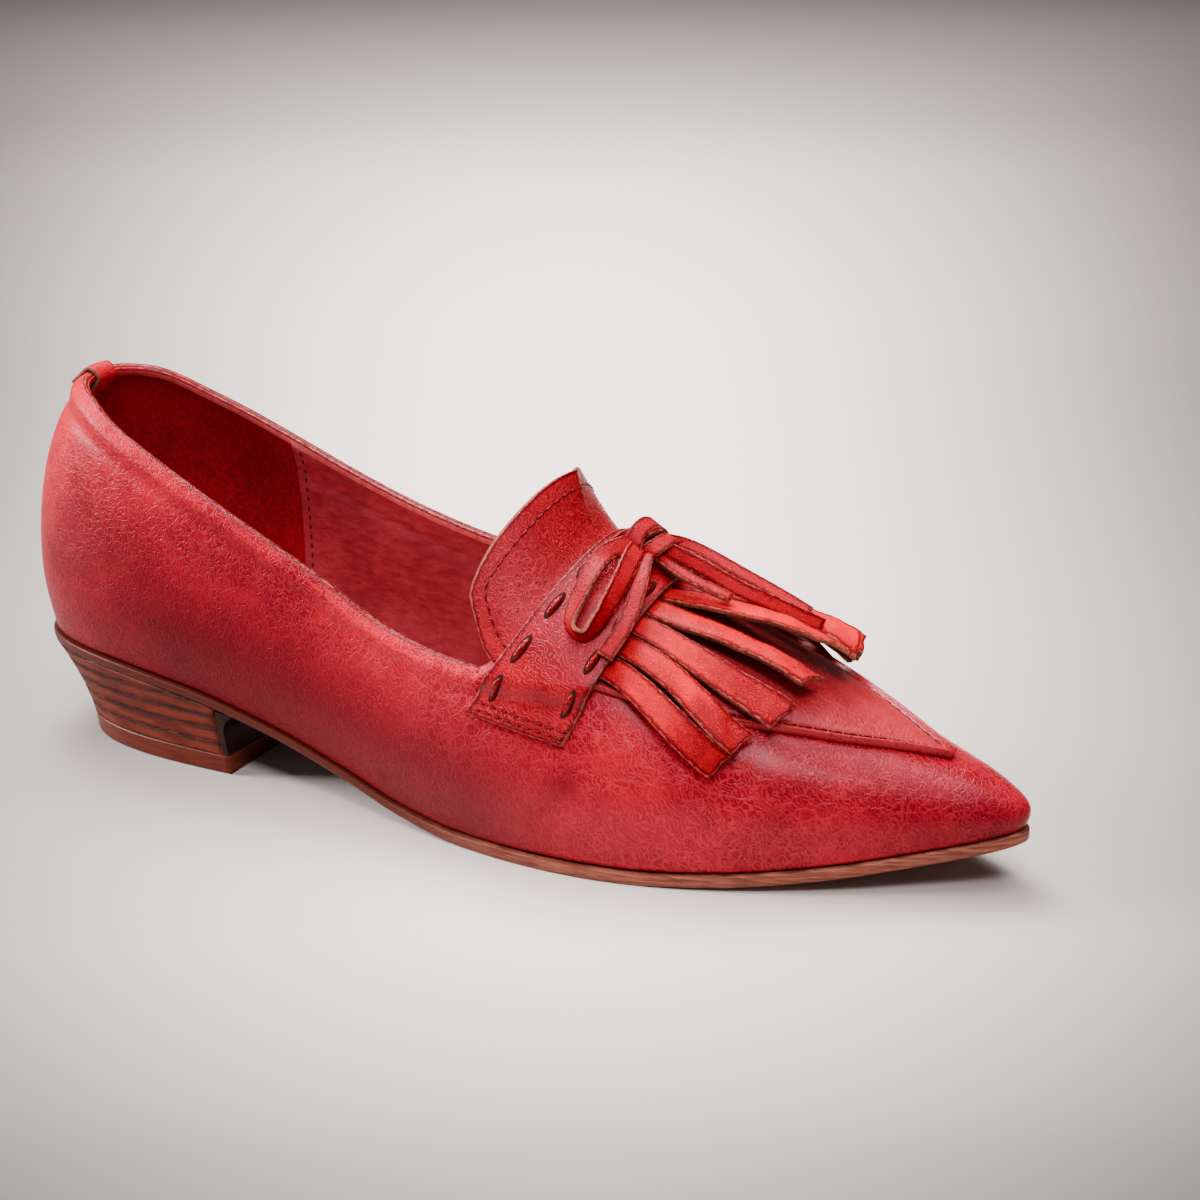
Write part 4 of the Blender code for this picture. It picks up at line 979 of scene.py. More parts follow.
# %% Helpers for stacked loops
def loop_at(inset, height):
    """A loop round the shoe, moved in from the outline, its height a function of length."""
    loop = []
    for side, spine, turn, _ in COLUMNS:
        inward = min(inset, half_width(side, spine, turn) * 0.75)
        spot = edge(side, spine, turn) - inward * facing(side, turn)
        loop.append((*spot, height(spot[0])))
    return np.array(loop)


ACROSS = 14  # steps of the net that fills the end of a stack


def between(points, a, b):
    """Numbers of a row of new points from one point to another, both ends included."""
    if a == b:
        return [a] * (ACROSS + 1)
    start = len(points)
    points += [points[a] * (1 - t) + points[b] * t for t in np.linspace(0, 1, ACROSS + 1)[1:-1]]
    return [a, *range(start, len(points)), b]


def net_faces(lines):
    """Four-cornered faces between rows of point numbers."""
    return [
        [one[j], two[j], two[j + 1], one[j + 1]]
        for one, two in zip(lines, lines[1:]) for j in range(len(one) - 1)
    ]


def loop_stack(name, loops, materials):
    """A closed solid from loops round the shoe, both ends filled."""
    count, rings = len(loops[0]), len(loops)
    points = list(np.concatenate(loops))
    number = np.arange(rings * count).reshape(rings, count)
    faces = net_faces(np.c_[number, number[:, 0]].tolist())
    for ring in (number[0], number[-1]):
        half = range(count // 2 + 1)
        faces += net_faces([between(points, ring[i], ring[-i]) for i in half])
    return build_object(name, points, faces, materials)


# %% Outsole and sock
OUTSOLE_EDGE = [  # inset from the sole's side, share of the thickness over its underside, lift
    (0.0005, 1, 0), (0.0001, 1, -0.00012), (0, 1, -0.0004), (0, 0.5, 0), (0, 0, 0.0008),
    (0.0002, 0, 0.0003), (0.0007, 0, 0),
]
outsole = loop_stack("outsole_edge", [
    loop_at(
        inset - SOLE_PROUD,
        lambda x, up=up, lift=lift: over_sole(x) * up + under_sole(x) * (1 - up) + lift,
    ) for inset, up, lift in OUTSOLE_EDGE
], [outsole_leather])
finish_piece(outsole, "outsole", "outsole")

REST, SOCK_SIDE = UPPER_WALL + GAP, UPPER_WALL + 2 * GAP
SOCK_EDGE = [  # inset from the outline, height over the feather edge
    (SOCK_SIDE + 0.0005, REST + INSOLE_THICKNESS), (SOCK_SIDE, REST + INSOLE_THICKNESS - 0.0004),
    (SOCK_SIDE, REST), (LASTING_MARGIN + GAP, REST), (LASTING_MARGIN + GAP, 0),
]
sock = loop_stack("sock", [
    loop_at(inset, lambda x, lift=lift: feather(x) + lift) for inset, lift in SOCK_EDGE
], [sock_leather])
finish_piece(sock, "insole", "insole")


# %% The heel's form
def heel_place(side, spine, turn, z):
    """A point of the heel's side at a height: it narrows from the seat to the ground."""
    seat = edge(side, spine, turn) + (SOLE_PROUD - GAP) * facing(side, turn)
    widest_seat = abs(edge(side, HEEL_FRONT, 0)[1]) + SOLE_PROUD - GAP
    along = (seat[0] + SOLE_PROUD) / (HEEL_FRONT + SOLE_PROUD)
    base_x = HEEL_BASE_INSET + along * HEEL_BASE_LENGTH
    base = np.array([base_x, seat[1] * HEEL_BASE_WIDTH / 2 / widest_seat])
    climb = min(1, z / (under_sole(seat[0]) - GAP))
    return np.array([*(base + (seat - base) * climb ** 1.7), z])


def heel_block(name, front, low, ceiling, rows, groove, materials):
    """Part of the heel from a height up to a ceiling, cut off straight at the front."""
    fan = HEEL_FAN * SHOE_LENGTH
    rays = [(fan, -math.pi / 2 * k / 26) for k in range(1, 27)]
    sides = [(x, 0) for x in np.linspace(front, fan, 18)] + rays
    places = [(-1, *spot) for spot in sides] + [(1, *spot) for spot in sides[:-1][::-1]]
    points = []
    for t in np.linspace(0, 1, rows):
        for side, spine, turn in places:
            top = ceiling(edge(side, spine, turn)[0])
            z = low + (top - low) * t
            spot = heel_place(side, spine, turn, z)
            spot[:2] -= facing(side, turn) * groove(z, t)
            points.append(spot)
    count = len(places)
    number = np.arange(rows * count).reshape(rows, count)
    faces = net_faces(number.tolist())
    for ring in (number[0], number[-1]):
        half = range(count // 2 + 1)
        faces += net_faces([between(points, ring[i], ring[-1 - i]) for i in half])
    faces += net_faces([between(points, ring[0], ring[-1]) for ring in number])
    return build_object(name, points, faces, materials, merge=1e-5)


# %% Stacked lifts and the top lift
BREAST_FACING = 0.0017
BREAST = HEEL_FRONT - BREAST_FACING - GAP


def lift_groove(z, _):
    """The thin sunk line between two lifts."""
    layer = (z - TOP_LIFT) / LIFT
    return 0.00022 * math.exp(-((layer - round(layer)) * LIFT / 0.00035) ** 2)


def worn_foot(_, t):
    """The rounded lower edge of the top lift."""
    return 0.0004 * max(0, 1 - t * 8)


heel_stack = heel_block(
    "heel_stack", BREAST, TOP_LIFT + GAP * 0.6, lambda x: under_sole(x) - GAP, 46, lift_groove,
    [stack_leather],
)
finish_piece(heel_stack, "heel_lift_1", *[f"heel_lift_{k}" for k in range(1, 6)])
top_lift = heel_block(
    "heel_top_lift", HEEL_FRONT, 0.0, lambda x: TOP_LIFT, 12, worn_foot, [lift_leather],
)
finish_piece(top_lift, "top_lift", "top_lift")

# %% [markdown]
# ## Tongue, strap, apron and fringe
# These four lie over the instep in layers, each a sheet over the one below. Their rules are
# the shoe's own: the strap sweeps back at both ends, the tongue flares up behind it, and the
# apron's outline closes to a point over the toes.

# %% Rules shared by the layers
APRON_THICKNESS, KILTIE_THICKNESS = 0.0010, 0.0015
STRAP_THICKNESS, TONGUE_THICKNESS = 0.0018, 0.0014
KILTIE_HALF_GIRTH, TONGUE_BASE_GIRTH = 0.0325, 0.0425
KILTIE_UNDER = GAP + APRON_THICKNESS + GAP
STRAP_UNDER = KILTIE_UNDER + KILTIE_THICKNESS + GAP
STRAP_BACK, STRAP_WIDTH = 0.595 * SHOE_LENGTH, 0.018
REACH_BACK, REACH_FRONT, SWEEP_BACK, SWEEP_FRONT = 0.0563, 0.0501, 0.015, 0.0082


def ease(value, start, end):
    """0 before start, 1 after end, and a soft step between them."""
    t = np.clip((value - start) / (end - start), 0, 1)
    return t * t * (3 - 2 * t)


def strap_back(girth):
    """Where the strap's back edge lies at a girth from the ridge."""
    return STRAP_BACK - SWEEP_BACK * (girth / REACH_BACK) ** 2


def strap_front(girth):
    """Where the strap's front edge lies."""
    return STRAP_BACK + STRAP_WIDTH - SWEEP_FRONT * (girth / REACH_FRONT) ** 2


def strap_spot(u, across, height):
    """A place on the strap: u from 0 on the outer end to 1, across from back to front."""
    girth = (u * 2 - 1) * (REACH_BACK + (REACH_FRONT - REACH_BACK) * across)
    x = strap_back(girth) + (strap_front(girth) - strap_back(girth)) * across
    edge_below = TONGUE_BASE_GIRTH + (KILTIE_HALF_GIRTH - TONGUE_BASE_GIRTH) * across
    drop = ease(abs(girth), edge_below + 0.003, edge_below + 0.0095)
    return over_skin(x, girth, STRAP_UNDER + (GAP - STRAP_UNDER) * drop + height)


print("strap lies", round(STRAP_UNDER * 1000, 2), "mm over the last")

# %% The saddle strap
strap = sheets(
    "saddle_strap_leather",
    [sheet_points(strap_spot, 0.110, STRAP_WIDTH, STRAP_THICKNESS, 120, 24)],
    [strap_leather, flesh_side, cut_edge],
)
finish_piece(strap, "saddle_strap", "saddle_strap")

# %% The tongue
TONGUE_RISE, TONGUE_FALL, TONGUE_HALF_WIDTH = 0.0186, 0.0195, 0.030
TONGUE_LEAN, TONGUE_SWEEP, TONGUE_HELD, TONGUE_BEND = 0.007, 0.019, 0.0048, 0.0045
crest = over_skin(STRAP_BACK, 0.0)


def tongue_spot(u, v, height):
    """A place on the tongue: u from under the strap to the rim, v across."""
    across = v * 2 - 1
    girth = across * TONGUE_BASE_GIRTH
    lift = KILTIE_UNDER + height
    held = over_skin(strap_back(girth) + TONGUE_HELD * (1 - u / 0.15), girth, lift)
    wide = np.abs(across)
    corner = np.clip((wide - 0.70) / 0.30, 0, 1)
    climb = np.clip((u - 0.15) / 0.85, 0, 1) * (1 - 0.12 * (1 - np.sqrt(1 - corner ** 2)))
    climb = climb[..., None]
    start = over_skin(strap_back(girth), girth, lift)
    bend = over_skin(strap_back(girth) - TONGUE_BEND, girth, lift + GAP)
    rim_back = TONGUE_LEAN + (TONGUE_SWEEP - TONGUE_LEAN) * wide ** 0.9
    rim_up = TONGUE_RISE - TONGUE_FALL * wide ** 1.65
    out = np.stack([np.full_like(across, 0.75), across * 0.55, np.full_like(across, 0.4)], -1)
    end = crest + np.stack([-rim_back, across * TONGUE_HALF_WIDTH, rim_up], -1)
    end = end + unit(out) * np.asarray(height)[..., None]
    flared = (1 - climb) ** 2 * start + 2 * climb * (1 - climb) * bend + climb ** 2 * end
    return np.where(u[..., None] < 0.15, held, flared)


tongue = sheets(
    "tongue_flap", [sheet_points(tongue_spot, 0.030, 0.075, TONGUE_THICKNESS, 44, 90)],
    [tongue_leather, flesh_side, cut_edge],
)
finish_piece(tongue, "tongue", "tongue")

# %% The apron with its raised lip
APRON_BACK, APRON_TIP, APRON_GIRTH = 0.628, 0.933, 0.0365
APRON = np.array([
    (0.620, 1.000), (0.680, 0.895), (0.780, 0.610), (0.816, 0.480), (0.855, 0.340),
    (0.890, 0.200), (0.916, 0.100), (0.933, 0.030),
]).T
apron_curve = Curve(*APRON)


def apron_reach(x):
    """The apron's half girth at a length."""
    return APRON_GIRTH * apron_curve(share(x))


def apron_top(inside, reach):
    """Height of the apron's face, from its lip inwards: a bead, a sewn groove, the panel."""
    small = np.clip(reach / 0.004, 0.2, 1)
    bead = 0.00100 * np.exp(-((inside - 0.0008 * small) / (0.00062 * small)) ** 2)
    groove = 0.00035 * np.exp(-((inside - 0.0022 * small) / (0.0005 * small)) ** 2)
    return APRON_THICKNESS + bead - groove


def make_apron():
    """The apron: rows of points across it, close together over the bead."""
    shares = [*np.linspace(APRON_BACK, 0.90, 60), *np.linspace(0.90, APRON_TIP, 34)[1:]]
    inside = [0, 0.1, 0.25, 0.45, 0.65, 0.85, 1.05, 1.3, 1.6, 1.9, 2.2, 2.5, 2.9, 3.4]
    inside = np.array(inside) / 1000
    top, under = [], []
    for x in np.array(shares) * SHOE_LENGTH:
        reach = float(apron_reach(x))
        near = inside * min(1, reach / 0.0042)
        across = np.linspace(-(reach - near[-1]), reach - near[-1], 30)[1:-1]
        girth = np.concatenate([-reach + near, across, reach - near[::-1]])
        lift = apron_top(reach - np.abs(girth), reach)
        lift[[0, -1]] = 0.0004
        top.append(over_skin(x, girth, GAP + lift))
        under.append(over_skin(x, girth, GAP))
    return grid_sheet("apron_panel", top, under, [apron_leather, flesh_side, upper_leather])


apron = make_apron()
finish_piece(apron, "apron", "apron")

# %% [markdown]
# ## The fringe
# The fringe is one piece of leather held under the strap and cut into strips. Cut leather
# never lies flat: each strip lifts, turns and cups in its own way. A table gives each strip
# its end and its lift, read from the photograph, and a slow wave makes the rest.

# %% The fringe's strips
FRINGE_REACH, FRINGE_CUT, STRIP_WIDTH, STRIPS = 0.039, 0.0035, 0.0061, 10
FRINGE = [  # reach, girth of the end, lift at the middle and at the end, roll in degrees, cup in mm
    (0.66, -1.08, 1.55, 0.35, 10, 0.3), (0.75, -0.84, 1.35, 0.90, -22, -0.5),
    (0.90, -0.58, 0.90, 1.00, 20, 0.5), (0.96, -0.22, 1.50, 2.30, -24, -0.7),
    (1.00, 0.05, 3.10, 3.90, -30, 0.6), (1.01, 0.27, 3.20, 4.10, 26, -0.5),
    (0.98, 0.48, 2.50, 3.20, 24, 0.4), (0.92, 0.68, 1.80, 2.10, 16, -0.4),
    (0.84, 0.88, 1.40, 1.20, 10, 0.3), (0.70, 1.09, 1.50, 0.45, 5, 0.2),
]
PITCH = 2 * KILTIE_HALF_GIRTH / STRIPS


def strip_spot(k):
    """The place function of one strip."""
    reach, tip, middle, end, roll, cup_depth = FRINGE[k]
    root = (k + 0.5 - STRIPS / 2) * PITCH
    tip_girth = tip * KILTIE_HALF_GIRTH
    edge_of_strap = strap_front(root) + 0.0006

    def spot(u, v, height):
        s = v - 0.5
        start = strap_front(root + s * STRIP_WIDTH) - 0.006
        slant = FRINGE_CUT * s * math.copysign(1, tip) + 0.00015 * np.sin(9 * s + k)
        stop = STRAP_BACK + STRAP_WIDTH + FRINGE_REACH * reach - slant
        x = start + (stop - start) * u
        free = np.clip((x - edge_of_strap) / (stop - edge_of_strap), 0, 1)
        width = STRIP_WIDTH * (0.97 + 0.14 * free + 0.03 * np.sin(x * 260 + 2 * k) * free)
        sway = 0.0006 * np.sin(x * 170 + 2.4 * k) * free
        girth = root + (tip_girth - root) * ease(free, 0, 1) + s * width + sway
        lift = KILTIE_THICKNESS * (4 * free * (1 - free) * middle + free ** 2 * end)
        turned = math.sin(math.radians(roll)) * free ** 1.3
        tilt = (turned * s + abs(turned) * 0.5) * width
        cup = cup_depth * 0.001 * (4 * s * s - 0.3) * free
        wave = (0.00025 * np.sin(x * 420 + k * 1.7) + 0.00015 * np.sin(x * 900 + 5 * s + k)) * free
        return over_skin(x, girth, KILTIE_UNDER + lift + tilt + cup + wave + height)

    return spot


STRIP_THICKNESS = KILTIE_THICKNESS * 0.9
fringe = sheets("fringe_strips", [
    sheet_points(strip_spot(k), 0.045, STRIP_WIDTH, STRIP_THICKNESS, 64, 10)
    for k in range(STRIPS)
], [fringe_leather, flesh_side, cut_edge])
finish_piece(fringe, "kiltie_fringe", "kiltie_fringe")

# %% [markdown]
# ## The bow
# A flat thong is wound round the strap and tied over it. Its loops and ends are ribbons that
# follow a path, with the width turned as the leather wants to lie. The knot is a short band
# wrapped round where they cross.

# %% Thongs
KNOT_HEIGHT, KNOT_PLACE = 0.0096, 0.014
STRAP_OVER = STRAP_UNDER + STRAP_THICKNESS
SEAT = STRAP_BACK + KNOT_PLACE


def over_strap(*spots):
    """Points over the strap or the fringe: along from the knot, girth, and height in knots."""
    x, girth, lift = np.array(spots, float).T
    return over_skin(SEAT + x, girth, STRAP_OVER + lift * KNOT_HEIGHT)


def thong(route, sideways, width, thick=0.0012, rows=70):
    """A closed ribbon along a route; sideways is its width's direction, or one for each point."""
    pace = tape(route)
    u = rim_steps(pace[-1], rows)
    path = np.stack([Curve(pace, route[:, k])(u * pace[-1]) for k in range(3)], 1)
    ahead = unit(np.gradient(path, u, axis=0))
    side = np.atleast_2d(np.array(sideways, float))
    if len(side) == 1:
        side = np.repeat(side, len(route), 0)
    side = np.stack([np.interp(u * pace[-1], pace, side[:, k]) for k in range(3)], 1)
    side = unit(side - ahead * (side * ahead).sum(1, keepdims=True))
    over = np.cross(ahead, side)

    def spot(uu, vv, height):
        row = np.searchsorted(u, uu)
        beside, above = (vv - 0.5) * width, np.asarray(height) - thick / 2
        return path[row] + side[row] * beside[..., None] + over[row] * above[..., None]

    return sheet_points(spot, pace[-1], width, thick, rows, 8, rim=0.00035)


near_loop = over_strap(
    (-0.0066, -0.0011, 0.40), (-0.0078, -0.0047, 0.42), (-0.0096, -0.0085, 0.42),
    (-0.0103, -0.0124, 0.40), (-0.0102, -0.0163, 0.37), (-0.0099, -0.0206, 0.33),
    (-0.0096, -0.0246, 0.28), (-0.0084, -0.0275, 0.22), (-0.0057, -0.0278, 0.20),
    (-0.0041, -0.0246, 0.23), (-0.0036, -0.0201, 0.28), (-0.0037, -0.0157, 0.34),
    (-0.0042, -0.0111, 0.40), (-0.0052, -0.0065, 0.42), (-0.0059, -0.0023, 0.40),
)
near_tail = over_strap(
    (-0.0045, -0.0014, 0.36), (-0.0016, -0.0079, 0.30), (0.0007, -0.0146, 0.20),
    (0.0014, -0.0219, 0.13), (0.0003, -0.0288, 0.10),
)
near_thong = over_strap(
    (-0.0045, 0.0003, 0.42), (0.0004, 0.0001, 0.52), (0.0071, 0.0008, 0.54), (0.0158, 0.0012, 0.54),
    (0.0253, 0.0032, 0.56), (0.0353, 0.0060, 0.55),
)
far_thong = over_strap(
    (-0.0043, 0.0020, 0.46), (0.0000, 0.0055, 0.54), (0.0044, 0.0066, 0.58), (0.0131, 0.0065, 0.62),
    (0.0220, 0.0068, 0.64), (0.0311, 0.0070, 0.62),
)
third_thong = over_strap(
    (-0.0025, -0.0012, 0.35), (0.0037, -0.0025, 0.36), (0.0099, -0.0029, 0.42),
    (0.0172, -0.0026, 0.50),
)
far_tail = over_strap(
    (-0.0040, 0.0030, 0.40), (-0.0020, 0.0110, 0.30), (0.0000, 0.0190, 0.18),
    (0.0010, 0.0260, 0.12), (0.0004, 0.0330, 0.10),
)


def coned(route, leans):
    """Width directions that make a loop stand like a slice of a cone, open to the outer side."""
    inward = unit(np.cross(OUTWARD, unit(np.gradient(route, axis=0))))
    at, known = np.linspace(0, 1, len(route)), np.linspace(0, 1, len(leans))
    lean = np.radians(np.interp(at, known, leans))[:, None]
    return inward * np.cos(lean) + OUTWARD * np.sin(lean)


OUTWARD = np.array([0.43, -0.84, 0.34])
loop_sides = coned(near_loop, [12, 22, 30, 45, 72, 45, 30, 18, 10])

# %% The knot and the whole bow
knot_x, knot_girth = SEAT - 0.0060, 0.0008
centre = over_skin(knot_x, knot_girth, STRAP_OVER + 0.0032)
forward = unit(over_skin(knot_x + 0.003, 0.0, 0.01) - over_skin(knot_x - 0.003, 0.0, 0.01))
sideward = np.array([0, 1.0, 0])
upward = np.cross(forward, sideward)
parts = [thong(near_loop, loop_sides, 0.0046, rows=130)]
parts += [thong(*ribbon) for ribbon in (
    (near_tail, (0.9, 0.2, -0.1), 0.0040), (near_thong, (0.2, 0.45, 0.85), 0.0038),
    (far_thong, (0, 0.8, 0.6), 0.0034), (third_thong, (0.1, 1, 0.3), 0.0030),
    (far_tail, (1, -0.1, 0.3), 0.0040),
)]
KNOT_TURNS = [  # place along the shoe, size, tilt and lean of each turn of the knot
    (-0.0024, 0.92, 0.7, 0.5), (0.0004, 1.16, -0.7, -0.4), (0.0030, 0.94, 0.5, 0.2),
]
KNOT_HALF_WIDTH, KNOT_HALF_HEIGHT = 0.0050, 0.0034
turn = np.linspace(-0.3, 2 * math.pi + 0.1, 26)[:, None]
for shift, size, tilt, lean in KNOT_TURNS:
    ring = centre + forward * (shift + tilt * 0.003 * np.sin(turn + lean))
    ring = ring + sideward * np.cos(turn) * KNOT_HALF_WIDTH * size
    ring = ring + upward * np.sin(turn) * KNOT_HALF_HEIGHT * size
    parts.append(thong(ring, forward + upward * lean * 0.3, 0.0042, 0.0014, 60))
bow = sheets("bow_thongs", parts, [thong_leather, thong_leather, cut_edge])
finish_piece(bow, "bow", "bow")

# %% [markdown]
# ## The back tab
# Over the back seam a small strip of leather is folded over the collar, to close it.


# %% Back tab
def make_tab():
    """The tab: its fold over the collar, at several columns round the back."""
    fan, wide, drop, thick = HEEL_FAN * SHOE_LENGTH, 0.012, 0.005, 0.001
    reach = wide / 2 / (fan - GAP)
    turns = [(-1, -math.pi / 2 + reach * k / 8) for k in range(8, 0, -1)]
    turns += [(1, -math.pi / 2 + reach * k / 8) for k in range(9)]
    wall = UPPER_WALL + COLLAR_ROLL
    top, under = [], []
    for side, turn in turns:
        up_share = collar_share(side, fan, turn)
        rim = section(side, fan, turn, up_share)
        rise = unit(rim - section(side, fan, turn, up_share - 0.02))
        out = section_normal(side, fan, turn, np.array(up_share))
        for depth, rows in ((GAP, under), (GAP + thick, top)):
            crown = UPPER_WALL * 0.4 + depth
            outer = [
                rim - rise * drop * t + out * (depth + 0.0007 * t)
                for t in (1, 0.9, 0.7, 0.5, 0.25, 0)
            ]
            over = rim - out * wall / 2 + out * (wall / 2 + depth) * np.cos(HALF_TURN)
            over = over + rise * crown * np.sin(HALF_TURN)
            inner = [rim - rise * drop * t - out * (wall + depth) for t in (0, 0.5, 1)]
            rows.append([*outer, *over, *inner])
    return grid_sheet("collar_tab", top, under, [strap_leather, flesh_side, cut_edge])


tab = make_tab()
finish_piece(tab, "back_tab", "back_tab")

# %% [markdown]
# ## Stitches
# A stitch is a short bead of thread that dips into a hole at both ends. All rows of stitches
# come from one Geometry Nodes tree. It walks along a path, drops a bead at every step, turns
# it along the path and lays it flat on the leather. The same tree makes the holes: beads
# painted near black as the shade inside them.

# %% The stitching tree
sewing = bpy.data.node_groups.new("sewing", "GeometryNodeTree")
for label, kind, default in (
    ("Path", "NodeSocketGeometry", None), ("Pitch", FLOAT, 0.003), ("Length", FLOAT, 0.0022),
    ("Width", FLOAT, 0.0006), ("Height", FLOAT, 0.0005), ("Material", "NodeSocketMaterial", None),
):
    socket = sewing.interface.new_socket(label, in_out="INPUT", socket_type=kind)
    if default is not None:
        socket.default_value = default
sewing.interface.new_socket("Stitches", in_out="OUTPUT", socket_type="NodeSocketGeometry")
inlet, outlet = sewing.nodes.new("NodeGroupInput"), sewing.nodes.new("NodeGroupOutput")
given = inlet.outputs


def sewn(kind, props=None, **inputs):
    """The first output of a new node of the sewing tree."""
    return add(sewing, kind, props, **inputs).outputs[0]


curve = sewn("GeometryNodeMeshToCurve", Mesh=given["Path"])
walk = sewn("GeometryNodeResampleCurve", {"mode": "LENGTH"}, Curve=curve, Length=given["Pitch"])
ahead = sewn("GeometryNodeInputTangent")
lain = sewn("GeometryNodeInputNamedAttribute", {"data_type": "FLOAT_VECTOR"}, Name="surface")
turn = sewn("FunctionNodeAlignEulerToVector", {"axis": "X"}, Vector=ahead)
turn = sewn(
    "FunctionNodeAlignEulerToVector", {"axis": "Z", "pivot_axis": "X"}, Rotation=turn, Vector=lain,
)
bead = sewn("GeometryNodeMeshUVSphere", Segments=10, Rings=7, Radius=0.5)
size = sewn("ShaderNodeCombineXYZ", X=given["Length"], Y=given["Width"], Z=given["Height"])
shaped = sewn("GeometryNodeTransform", Geometry=bead, Scale=size)
laid = sewn("GeometryNodeInstanceOnPoints", Points=walk, Instance=shaped, Rotation=turn)
real = sewn("GeometryNodeRealizeInstances", Geometry=laid)
smooth = sewn("GeometryNodeSetShadeSmooth", Geometry=real)
dressed = sewn("GeometryNodeSetMaterial", Geometry=smooth, Material=given["Material"])
sewing.links.new(dressed, outlet.inputs[0])
print("sewing tree:", len(sewing.nodes), "nodes")


# %% Rows of stitches
def path_object(name, points, normals):
    """A line of vertices with the direction out of the leather at each."""
    mesh = bpy.data.meshes.new(name)
    moved = np.asarray(points) - (HEEL_CENTRE, 0, 0)
    mesh.from_pydata(moved.tolist(), [(i, i + 1) for i in range(len(moved) - 1)], [])
    surface = mesh.attributes.new("surface", "FLOAT_VECTOR", "POINT")
    surface.data.foreach_set("vector", np.asarray(normals, float).ravel())
    item = bpy.data.objects.new(name, mesh)
    bpy.context.collection.objects.link(item)
    return item


def run_tree(item, tree, **inputs):
    """The plain mesh that a tree makes of an object."""
    modifier = item.modifiers.new("tree", "NODES")
    modifier.node_group = tree
    sockets = {s.name: s.identifier for s in tree.interface.items_tree if s.in_out == "INPUT"}
    for label, value in inputs.items():
        modifier[sockets[label]] = value
    graph = bpy.context.evaluated_depsgraph_get()
    return bpy.data.meshes.new_from_object(item.evaluated_get(graph), depsgraph=graph)


def sew(name, rows, pitch, bead_size, material):
    """Stitches along several rows, as one piece; each row is its points and their normals."""
    bead_inputs = dict(zip(("Length", "Width", "Height"), bead_size))
    joined = bmesh.new()
    for points, normals in rows:
        path = path_object(name + "_path", points, normals)
        mesh = run_tree(path, sewing, Pitch=pitch, Material=material, **bead_inputs)
        joined.from_mesh(mesh)
        bpy.data.objects.remove(path)
    mesh = bpy.data.meshes.new(name)
    joined.to_mesh(mesh)
    joined.free()
    mesh.materials.append(material)
    mesh.shade_smooth()
    item = bpy.data.objects.new(name, mesh)
    bpy.context.collection.objects.link(item)
    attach(item, "root")
    print(f"{name}: {len(rows)} rows, {len(mesh.polygons)} faces")


def surface_row(spot, u, v, lift):
    """A row over a piece from its place function: points and the directions out of it."""
    u, v = np.broadcast_arrays(np.asarray(u, float), np.asarray(v, float))
    low, high = spot(u, v, np.zeros(u.shape)), spot(u, v, np.full(u.shape, 0.001))
    out = unit(high - low)
    return low + out * lift, out


def shifted(rows, lift):
    """The same rows, moved out of the leather."""
    return [(points + normals * lift, normals) for points, normals in rows]


rows = [
    surface_row(strap_spot, np.full(60, u), np.linspace(0.08, 0.92, 60), STRAP_THICKNESS + 0.00005)
    for u in (0.016, 0.034, 0.984, 0.966)
]
sew("strap_machine_stitches", rows, 0.0026, (0.0019, 0.0006, 0.0006), red_thread)
sew(
    "strap_machine_holes", shifted(rows, -0.00002), 0.0026, (0.0027, 0.00075, 0.0003),
    hole_shade_and_dark_thread,
)

# %% Laced stitches along the strap
LACED_BACK, LACED_FRONT = [0.077, 0.172, 0.280, 0.385], [0.096, 0.200, 0.310, 0.413]


def tube(points, outs, rows, sides, girth_of):
    """Points and faces of a closed tube along a row; girth_of gives its half height and width."""
    ahead = unit(np.gradient(points, axis=0))
    beside = unit(np.cross(outs, ahead))
    over = np.cross(ahead, beside)
    angle = np.linspace(0, 2 * math.pi, sides, endpoint=False)
    rings = []
    for k, t in enumerate(np.linspace(0, 1, rows)):
        tall, wide = girth_of(t, angle)
        across = beside[k] * (np.cos(angle) * wide)[:, None]
        rings.append(points[k] + over[k] * (np.sin(angle) * tall)[:, None] + across)
    number = np.arange(rows * sides).reshape(rows, sides)
    faces = net_faces(np.c_[number, number[:, 0]].tolist())
    faces += [number[0].tolist(), number[-1, ::-1].tolist()]
    return np.concatenate(rings), faces


def twisted(t, angle):
    """A two-ply thread that thins a little where it enters the leather."""
    size = 0.00062 * (0.55 + 0.45 * math.sin(math.pi * t)) * (1 + 0.14 * np.cos(2 * angle + 30 * t))
    return size, size * 1.15


def slot_shape(t, _):
    """The pulled-open hole under a stitch: long, and shallow like a lens."""
    size = math.sqrt(max(1 - (2 * t - 1) ** 2, 0.0004))
    return 0.00018 * size, 0.00120 * size


STITCH_LENGTH, SLOT_LENGTH = 0.050, 0.068  # as shares of the strap's length
t = np.linspace(0, 1, 26)
arch = (np.sin(math.pi * t) ** 0.6 * 0.0009 - 0.0005)[:, None]
threads, slots_cut = [], []
for places, v in ((LACED_BACK, 0.14), (LACED_FRONT, 0.86)):
    for u in places + [1 - u for u in places]:
        stitch, slot = (
            surface_row(strap_spot, u + (t - 0.5) * length, v, STRAP_THICKNESS)
            for length in (STITCH_LENGTH, SLOT_LENGTH)
        )
        threads.append(tube(stitch[0] + stitch[1] * arch, stitch[1], 26, 12, twisted))
        slots_cut.append(tube(*slot, 26, 8, slot_shape))
for name, tubes, material in (
    ("laced_stitches", threads, red_thread), ("laced_holes", slots_cut, hole_shade_and_dark_thread),
):
    faces, base = [], 0
    for points, drawn in tubes:
        faces += [[base + v for v in face] for face in drawn]
        base += len(points)
    laced = build_object(name, np.concatenate([p for p, _ in tubes]), faces, [material])
    finish_piece(laced, "saddle_strap")


